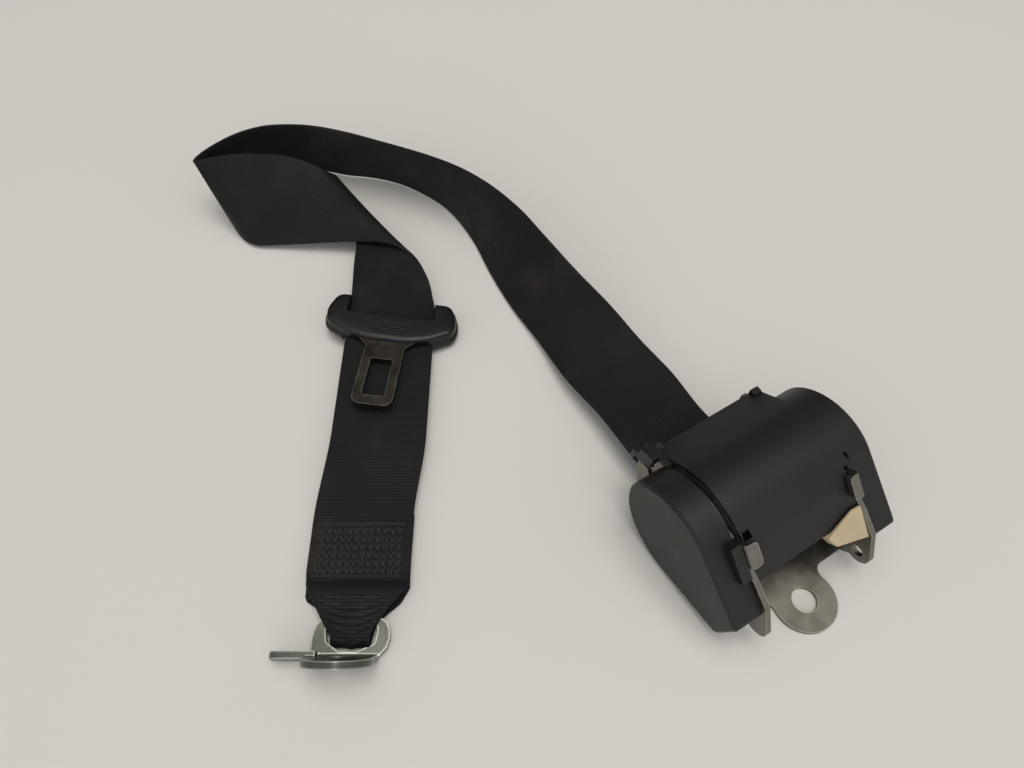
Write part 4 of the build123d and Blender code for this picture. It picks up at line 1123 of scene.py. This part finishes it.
# Pieces repeated on points
class RepeatTree:
    """A node tree that puts one small shape on many points."""

    def __init__(self, name: str, **numbers: float) -> None:
        """Makes the tree with its sockets.

        Args:
            name: the tree's name.
            numbers: each number that goes in, with underscores for spaces, and its default.
        """
        self.tree = bpy.data.node_groups.new(name, "GeometryNodeTree")
        face = self.tree.interface
        face.new_socket(name="Points", in_out="INPUT", socket_type="NodeSocketGeometry")
        self.keys = number_inputs(self.tree, numbers)
        finish = face.new_socket(name="Finish", in_out="INPUT", socket_type="NodeSocketMaterial")
        self.keys["Finish"] = finish.identifier
        face.new_socket(name="Pieces", in_out="OUTPUT", socket_type="NodeSocketGeometry")
        self.nodes = ShaderTree(self.tree)
        self.come = self.nodes.add("NodeGroupInput")
        self.go = self.nodes.add("NodeGroupOutput")

    def attribute(self, name: str) -> bpy.types.NodeSocket:
        """Reads a number that each point carries."""
        node = self.nodes.add("GeometryNodeInputNamedAttribute", data_type="FLOAT")
        return self.nodes.feed(node, Name=name).outputs[0]

    def sweep(self, curve: bpy.types.NodeSocket, radius: object, corners: int) -> bpy.types.NodeSocket:
        """Makes a round bar along a curve.

        Args:
            curve: the curve's socket.
            radius: the bar's radius, as a socket or in metres.
            corners: points round the bar.

        Returns:
            The bar's socket.
        """
        ring = self.nodes.add("GeometryNodeCurvePrimitiveCircle")
        self.nodes.feed(ring, Resolution=corners, Radius=radius)
        body = self.nodes.add("GeometryNodeCurveToMesh")
        self.nodes.feed(body, Curve=curve, Profile_Curve=ring.outputs[0], Fill_Caps=True)
        return body.outputs[0]

    def place(self, shape: bpy.types.NodeSocket, scale: object = None) -> None:
        """Puts the shape on every point, turned as the point says, and closes the tree.

        Args:
            shape: socket of the shape to repeat.
            scale: socket of the scale, where it changes.
        """
        rotation = self.nodes.add("FunctionNodeEulerToRotation")
        self.nodes.feed(rotation, n0=self.nodes.corner(Z=self.attribute("turn")))
        copies = self.nodes.add("GeometryNodeInstanceOnPoints")
        self.nodes.feed(copies, Points=self.come.outputs["Points"], Instance=shape,
                        Rotation=rotation.outputs[0])
        if scale is not None:
            self.nodes.feed(copies, Scale=scale)
        real = self.nodes.add("GeometryNodeRealizeInstances")
        self.nodes.feed(real, n0=copies.outputs[0])
        smooth = self.nodes.add("GeometryNodeSetShadeSmooth")
        self.nodes.feed(smooth, n0=real.outputs[0])
        dressed = self.nodes.add("GeometryNodeSetMaterial")
        self.nodes.feed(dressed, n0=smooth.outputs[0], Material=self.come.outputs["Finish"])
        self.nodes.feed(self.go, n0=dressed.outputs[0])

    def grow(self, points: bpy.types.Mesh, values: dict[str, object]) -> bpy.types.Mesh:
        """Runs the tree on points and gives a plain mesh.

        Args:
            points: mesh of loose points with a "turn" attribute.
            values: the tree's inputs by name.

        Returns:
            The pieces as one mesh.
        """
        carrier = add_object("carrier", points)
        grown = carrier.modifiers.new("repeat", "NODES")
        grown.node_group = self.tree
        for label, value in values.items():
            grown[self.keys[label]] = value
        mesh = evaluated_mesh(carrier)
        carrier.modifiers.remove(grown)
        bpy.data.objects.remove(carrier)
        return mesh


def loose_points(name: str, places: list[Vector], turns: list[float]) -> bpy.types.Mesh:
    """Makes a mesh of loose points, each with a turn about the upright.

    Args:
        name: the mesh's name.
        places: the points in metres.
        turns: the turns in radians.

    Returns:
        The mesh.
    """
    mesh = bpy.data.meshes.new(name)
    mesh.from_pydata([tuple(p) for p in places], [], [])
    turn = mesh.attributes.new("turn", "FLOAT", "POINT")
    turn.data.foreach_set("value", turns)
    return mesh


@dataclass
class StitchBlock:
    """Rows of zigzag lock stitches between two straight rows, which close the anchor's loop."""

    shop: Workshop
    centre: tuple[float, float] = (-69.3, -93.6)
    top: float = 6.2
    wide: float = 39.0
    rows: int = 6
    row_deep: float = 3.8
    teeth: int = 12
    thread: float = 0.50
    wander: float = 0.30
    arch: float = 0.42
    border: float = 1.0
    plain_stitch: float = 3.0
    seed: int = 7

    def tree(self) -> RepeatTree:
        """Builds the tree that lays one arched stitch on each point.

        Returns:
            The tree.
        """
        made = RepeatTree("arched stitch", Length=0.003, Thread_Radius=0.0003, Arch=0.0004)
        nodes, come = made.nodes, made.come
        half = nodes.math("MULTIPLY", come.outputs["Length"], 0.5)
        sunk = nodes.math("MULTIPLY", come.outputs["Thread Radius"], -1.2)
        ends = [nodes.corner(X=nodes.math("MULTIPLY", half, sign), Z=sunk) for sign in (-1.0, 1.0)]
        crown = nodes.corner(Z=nodes.math("MULTIPLY", come.outputs["Arch"], 2.0))
        arc = nodes.add("GeometryNodeCurveQuadraticBezier")
        nodes.feed(arc, Resolution=6, Start=ends[0], Middle=crown, End=ends[1])
        made.place(made.sweep(arc.outputs[0], come.outputs["Thread Radius"], 6))
        return made

    def build(self) -> bpy.types.Object:
        """Builds the stitches.

        Returns:
            The stitch block.
        """
        step = self.wide / self.teeth / 2
        deep = self.rows * self.row_deep
        places, turns = [], []
        tilt = math.atan2(self.row_deep, step)
        chance = np.random.default_rng(self.seed)
        for row in range(self.rows):
            low = self.centre[1] + deep / 2 - (row + 1) * self.row_deep
            for k in range(self.teeth * 2):
                x = self.centre[0] - self.wide / 2 + (k + 0.5) * step
                aside, ahead, twist = chance.normal(0.0, 1.0, 3)
                y = low + self.row_deep / 2 + ahead * self.wander
                places.append(lay(x + aside * self.wander * 0.6, y, self.top))
                turns.append((tilt if k % 2 else -tilt) - LAY_TURN + twist * self.wander * 0.5)
        count = int(self.wide / self.plain_stitch)
        for y in (deep / 2 + self.border, -deep / 2 - self.border):
            for k in range(count):
                x = self.centre[0] - self.wide / 2 + (k + 0.5) * self.wide / count
                places.append(lay(x, self.centre[1] + y, self.top))
                turns.append(-LAY_TURN)
        finish = self.shop.finishes.thread
        mesh = self.tree().grow(loose_points("stitch_points", places, turns), {
            "Length": math.hypot(step, self.row_deep) * 1.02 * MM, "Thread Radius": self.thread * MM,
            "Arch": self.arch * MM, "Finish": self.shop.finishes.material(finish)})
        return self.shop.piece("lock_stitches", mesh, finish, Body.RETRACTOR, ("stitching",))


# Tongue
@dataclass
class Tongue:
    """Steel tongue in its plastic grip."""

    shop: Workshop
    at: Point = (-65.0, 34.2, 8.0)
    roll: float = 4.0
    skew: float = 5.4
    wide: float = 72.8
    deep: float = 26.5
    nose: float = 4.0
    above: float = 6.4
    below: float = 5.2
    slot_wide: float = 47.0
    slot_shift: float = 0.6
    front_bar: float = -0.35
    slot_deep: float = 3.5
    passage: float = 0.95
    voxel: float = 0.30
    ribs: int = 5
    rib_start: float = 5.0
    rib_step: float = 1.45
    rib_long: float = 25.0
    rib_radius: float = 0.46
    rib_lift: float = 0.5
    rib_narrowing: float = 0.085

    def frame(self) -> Matrix:
        """Gives the tongue's own axes: across, towards the blade's tip, and up.

        Returns:
            The matrix from them, in metres, to the retractor's axes.
        """
        high = Strap.lap_high
        top, low = ((lay(a, b, high) + lay(c, d, high)) / 2 for a, b, c, d in (Strap.lap[0], Strap.lap[-1]))
        up = lay_way(math.sin(math.radians(self.roll)), 0, math.cos(math.radians(self.roll)))
        along = Matrix.Rotation(math.radians(-self.skew), 3, up) @ (low - top).normalized()
        side = along.cross(up).normalized()
        back = side.cross(along)
        turn = Matrix((side, back.cross(side), back)).transposed()
        return Matrix.Translation(lay(*self.at)) @ turn.to_4x4()

    def outline(self) -> list[tuple[float, float]]:
        """Gives the grip's boat shape from above, with each corner rounded by its own length.

        Returns:
            Points in millimetres.
        """
        half, deep = self.wide / 2, self.deep / 2
        right = [(half - 4.4, -deep, 4.2), (half, -1.0, 4.2), (half - 1.6, deep - 6.0, 3.0),
                 (half - 14.0, deep + self.nose * 0.25, 5.0), (half - 25.0, deep + self.nose, 5.5)]
        corners = right + [(-x, y, cut) for x, y, cut in reversed(right)]
        points = []
        for k, (x, y, cut) in enumerate(corners):
            before, here, after = (Vector(corners[(k + step) % len(corners)][:2]) for step in (-1, 0, 1))
            start = here + (before - here).normalized() * cut
            end = here + (after - here).normalized() * cut
            for t in np.linspace(0.0, 1.0, 9):
                spot = start * (1 - t) ** 2 + here * 2 * t * (1 - t) + end * t ** 2
                points.append((spot.x, spot.y))
        return points

    def block(self) -> bpy.types.Mesh:
        """Builds the grip before its passages are cut.

        Returns:
            A closed mesh in millimetres, in the tongue's own axes.
        """
        outline = np.array(self.outline())
        levels = [(-self.below, 4.0), (-self.below + 0.2, 2.4), (-4.4, 1.1), (-3.2, 0.4), (-1.8, 0.0),
                  (0.4, 0.0), (1.3, 1.0), (3.0, 1.2), (5.2, 1.4), (6.1, 2.0), (6.5, 3.1), (6.65, 5.0),
                  (6.7, 8.0), (6.75, 11.0)]
        half, deep = self.wide / 2, self.deep / 2
        rings = [np.column_stack([outline[:, 0] * (1 - inset / half), outline[:, 1] * (1 - inset / deep),
                                  np.full(len(outline), z)]) for z, inset in levels]
        return mesh_from_rings("grip_block", np.array(rings))

    def grip_mesh(self) -> bpy.types.Mesh:
        """Cuts the strap's passages and rounds every edge as a mould does.

        Returns:
            The grip's mesh in the retractor's axes, in metres.
        """
        grip = add_object("grip_work", self.block())
        reach = 40.0
        cuts = ((self.front_bar - reach / 2, reach / 2 - self.passage),
                (self.front_bar - self.slot_deep + reach / 2, self.passage - reach / 2))
        tools = []
        for y, z in cuts:
            work = bmesh.new()
            bmesh.ops.create_cube(work, size=1.0)
            bmesh.ops.scale(work, vec=(self.slot_wide, reach, reach), verts=work.verts)
            bmesh.ops.translate(work, vec=(self.slot_shift, y, z), verts=work.verts)
            for corner in work.verts:
                if corner.co.x < 0:
                    corner.co.x -= corner.co.y * math.tan(math.radians(self.skew))
            mesh = bpy.data.meshes.new("passage")
            work.to_mesh(mesh)
            work.free()
            tool = add_object("passage", mesh)
            tools.append(tool)
            cut = grip.modifiers.new("passage", "BOOLEAN")
            cut.operation, cut.solver, cut.object = "DIFFERENCE", "EXACT", tool
        remesh = grip.modifiers.new("even", "REMESH")
        remesh.mode, remesh.voxel_size, remesh.adaptivity = "VOXEL", self.voxel, 0.0
        soft = grip.modifiers.new("mould radius", "SMOOTH")
        soft.factor, soft.iterations = 0.5, 5
        mesh = evaluated_mesh(grip)
        for obj in (grip, *tools):
            bpy.data.objects.remove(obj)
        mesh.transform(self.frame() @ Matrix.Scale(MM, 4))
        mesh.shade_smooth()
        return mesh

    def rib_tree(self) -> RepeatTree:
        """Builds the tree that lays one rounded bar on each point.

        Returns:
            The tree.
        """
        made = RepeatTree("grip rib", Length=0.02, Radius=0.0005)
        nodes, come = made.nodes, made.come
        ends = [nodes.corner(X=nodes.math("MULTIPLY", come.outputs["Length"], sign)) for sign in (-0.5, 0.5)]
        line = nodes.add("GeometryNodeCurvePrimitiveLine")
        nodes.feed(line, Start=ends[0], End=ends[1])
        even = nodes.add("GeometryNodeResampleCurve")
        nodes.feed(even, Curve=line.outputs[0], Count=14)
        bar = made.sweep(even.outputs[0], come.outputs["Radius"], 12)
        made.place(bar, nodes.corner(X=made.attribute("stretch"), Y=1.0, Z=1.0))
        return made

    def build(self) -> None:
        """Builds the grip, its ribs and the steel tongue."""
        plastic = self.shop.finishes.grip
        self.shop.piece("moulded_grip", self.grip_mesh(), plastic, Body.TONGUE, ("tongue_grip",))
        places = [Vector((0.0, (self.rib_start + self.rib_step * k) * MM, 0.0)) for k in range(self.ribs)]
        points = loose_points("rib_points", places, [0.0] * self.ribs)
        stretch = points.attributes.new("stretch", "FLOAT", "POINT")
        stretch.data.foreach_set("value", [1.0 - self.rib_narrowing * k for k in range(self.ribs)])
        mesh = self.rib_tree().grow(points, {"Length": self.rib_long * MM, "Radius": self.rib_radius * MM,
                                             "Finish": self.shop.finishes.material(plastic)})
        mesh.transform(self.frame() @ Matrix.Translation((0.0, 0.0, (self.above + self.rib_lift) * MM)))
        self.shop.piece("grip_ribs", mesh, plastic, Body.TONGUE)
        self.shop.softened("tongue_plate", self.shop.finishes.bright, Body.TONGUE, 0.45)


# Anchor and retractor
@dataclass
class Anchor:
    """Bent steel plate at the free end."""

    shop: Workshop

    def build(self) -> None:
        """Breaks the plate's edges as a press does."""
        self.shop.softened("anchor_plate", self.shop.finishes.plated, Body.ANCHOR, 0.45)


@dataclass
class Retractor:
    """Steel frame with its plastic covers."""

    shop: Workshop
    edge: float = 0.3
    frame_edge: float = 0.22
    block_edge: float = 0.35
    bar_edge: float = 0.2
    crease: float = 14.0

    def build(self) -> None:
        """Builds the frame, the covers and what shows between them."""
        finishes = self.shop.finishes
        self.shop.softened("frame", finishes.zinc, Body.RETRACTOR, self.frame_edge)
        self.shop.softened("guard_cover", finishes.black, Body.RETRACTOR, self.edge, sharp=self.crease)
        for node in ("spring_cover", "mechanism_cover", "webbing_guide", "exit_clip", "spring_plate"):
            self.shop.softened(node, finishes.black, Body.RETRACTOR, self.edge)
        self.shop.softened("pawl_block", finishes.cream, Body.RETRACTOR, self.block_edge)
        self.shop.softened("tie_bar", finishes.zinc, Body.RETRACTOR, self.bar_edge)


@dataclass
class Mechanism:
    """Reel, lock and sensor."""

    shop: Workshop

    def build(self) -> None:
        """Dresses the pieces that turn, lock and sense."""
        f = self.shop.finishes
        for node in ("bush_left", "bush_right", "sensor_cup", "spring_arbor", "lock_gear", "sensor_lever"):
            self.shop.dress(node, f.white)
        for node in ("spool_shaft", "webbing_pin", "lock_ratchet", "lock_pawl", "pawl_pin", "sensor_ball"):
            self.shop.dress(node, f.hard)
        for node in ("spool", "inertia_disc"):
            self.shop.dress(node, f.cast)
        self.shop.dress("return_spring", f.spring)


# Studio
@dataclass(frozen=True)
class Lamp:
    """Soft square light over the table: place and width in metres, power in watts."""

    name: str
    place: Point
    wide: float
    power: float
    colour: Point


@dataclass
class Studio:
    """Pale floor, soft light and the camera at the photograph's angle."""

    eye: Point = (0.0, -220.8, 340.0)
    pitch: float = 57.0
    lens: float = 27.04
    sensor: float = 36.0
    nearest: float = 0.01
    lamps: tuple[Lamp, ...] = (
        Lamp("key light", (0.25, -0.25, 2.4), 1.3, 25.0, (1.0, 0.975, 0.94)),
        Lamp("fill light", (-0.5, 0.7, 2.4), 1.6, 5.0, (0.97, 0.98, 1.0)),
    )
    lit_spot: Point = (-20.0, 10.0, 0.0)
    sky: tuple[float, float, float, float] = (0.95, 0.96, 1.0, 1.0)
    sky_reach: tuple[float, float] = (-0.45, 0.60)
    sky_light: tuple[float, float] = (0.12, 0.86)
    floor_wide: float = 6.0
    floor: Finish = Painted("pale floor", "webbing", (0.715, 0.684, 0.628), 0.85)

    def build(self) -> None:
        """Adds the floor, the camera, the lights and the sky."""
        self.add_floor()
        self.add_camera()
        for lamp in self.lamps:
            self.add_lamp(lamp)
        self.add_sky()
        bpy.context.scene.view_settings.view_transform = "Standard"

    def add_sky(self) -> None:
        """Adds the light from all round, strongest from the side that the photograph was taken from."""
        world = bpy.data.worlds.new("studio air")
        world.use_nodes = True
        room = ShaderTree(world.node_tree)
        way = room.add("ShaderNodeTexCoord")
        front = room.add("ShaderNodeVectorMath", operation="DOT_PRODUCT")
        room.feed(front, n0=way.outputs["Generated"], n1=tuple(lay_way(0.0, -1.0, 0.0)))
        glow = room.span(front.outputs["Value"], *self.sky_reach, *self.sky_light)
        room.feed(world.node_tree.nodes["Background"], Color=self.sky, Strength=glow)
        bpy.context.scene.world = world

    def add_floor(self) -> None:
        """Adds the floor under the belt."""
        half = self.floor_wide / 2
        mesh = bpy.data.meshes.new("studio_floor")
        mesh.from_pydata([(-half, -half, 0.0), (half, -half, 0.0), (half, half, 0.0), (-half, half, 0.0)],
                         [], [(0, 1, 2, 3)])
        floor = add_object("studio_floor", mesh)
        mesh.materials.append(self.floor.make())

    def add_camera(self) -> None:
        """Adds the camera."""
        data = bpy.data.cameras.new("photo camera")
        data.lens, data.sensor_width, data.clip_start = self.lens, self.sensor, self.nearest
        camera = add_object("photo camera", data)
        pitch = math.radians(self.pitch)
        look = lay_way(0.0, math.cos(pitch), -math.sin(pitch))
        right = lay_way(1.0, 0.0, 0.0)
        up = right.cross(look)
        turn = Matrix((right, up, -look)).transposed().to_4x4()
        camera.matrix_world = Matrix.Translation(lay(*self.eye)) @ turn
        bpy.context.scene.camera = camera

    def add_lamp(self, lamp: Lamp) -> None:
        """Adds a soft light that looks at the middle of the belt."""
        data = bpy.data.lights.new(lamp.name, "AREA")
        data.size, data.energy, data.color = lamp.wide, lamp.power, lamp.colour
        light = add_object(lamp.name, data)
        spot = lay(*(v / MM for v in lamp.place))
        turn = (lay(*self.lit_spot) - spot).to_track_quat("-Z", "Y").to_matrix().to_4x4()
        light.matrix_world = Matrix.Translation(spot) @ turn


def main() -> None:
    """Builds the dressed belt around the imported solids."""
    logging.basicConfig(level=logging.INFO, format="%(message)s")
    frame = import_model()
    shop = Workshop(frame["nodes"], Finishes())
    Studio().build()
    Strap(shop).build()
    AnchorLoop(shop).build()
    WoundStrap(shop).build()
    StitchBlock(shop).build()
    Tongue(shop).build()
    Anchor(shop).build()
    Retractor(shop).build()
    Mechanism(shop).build()


if __name__ == "__main__":
    main()
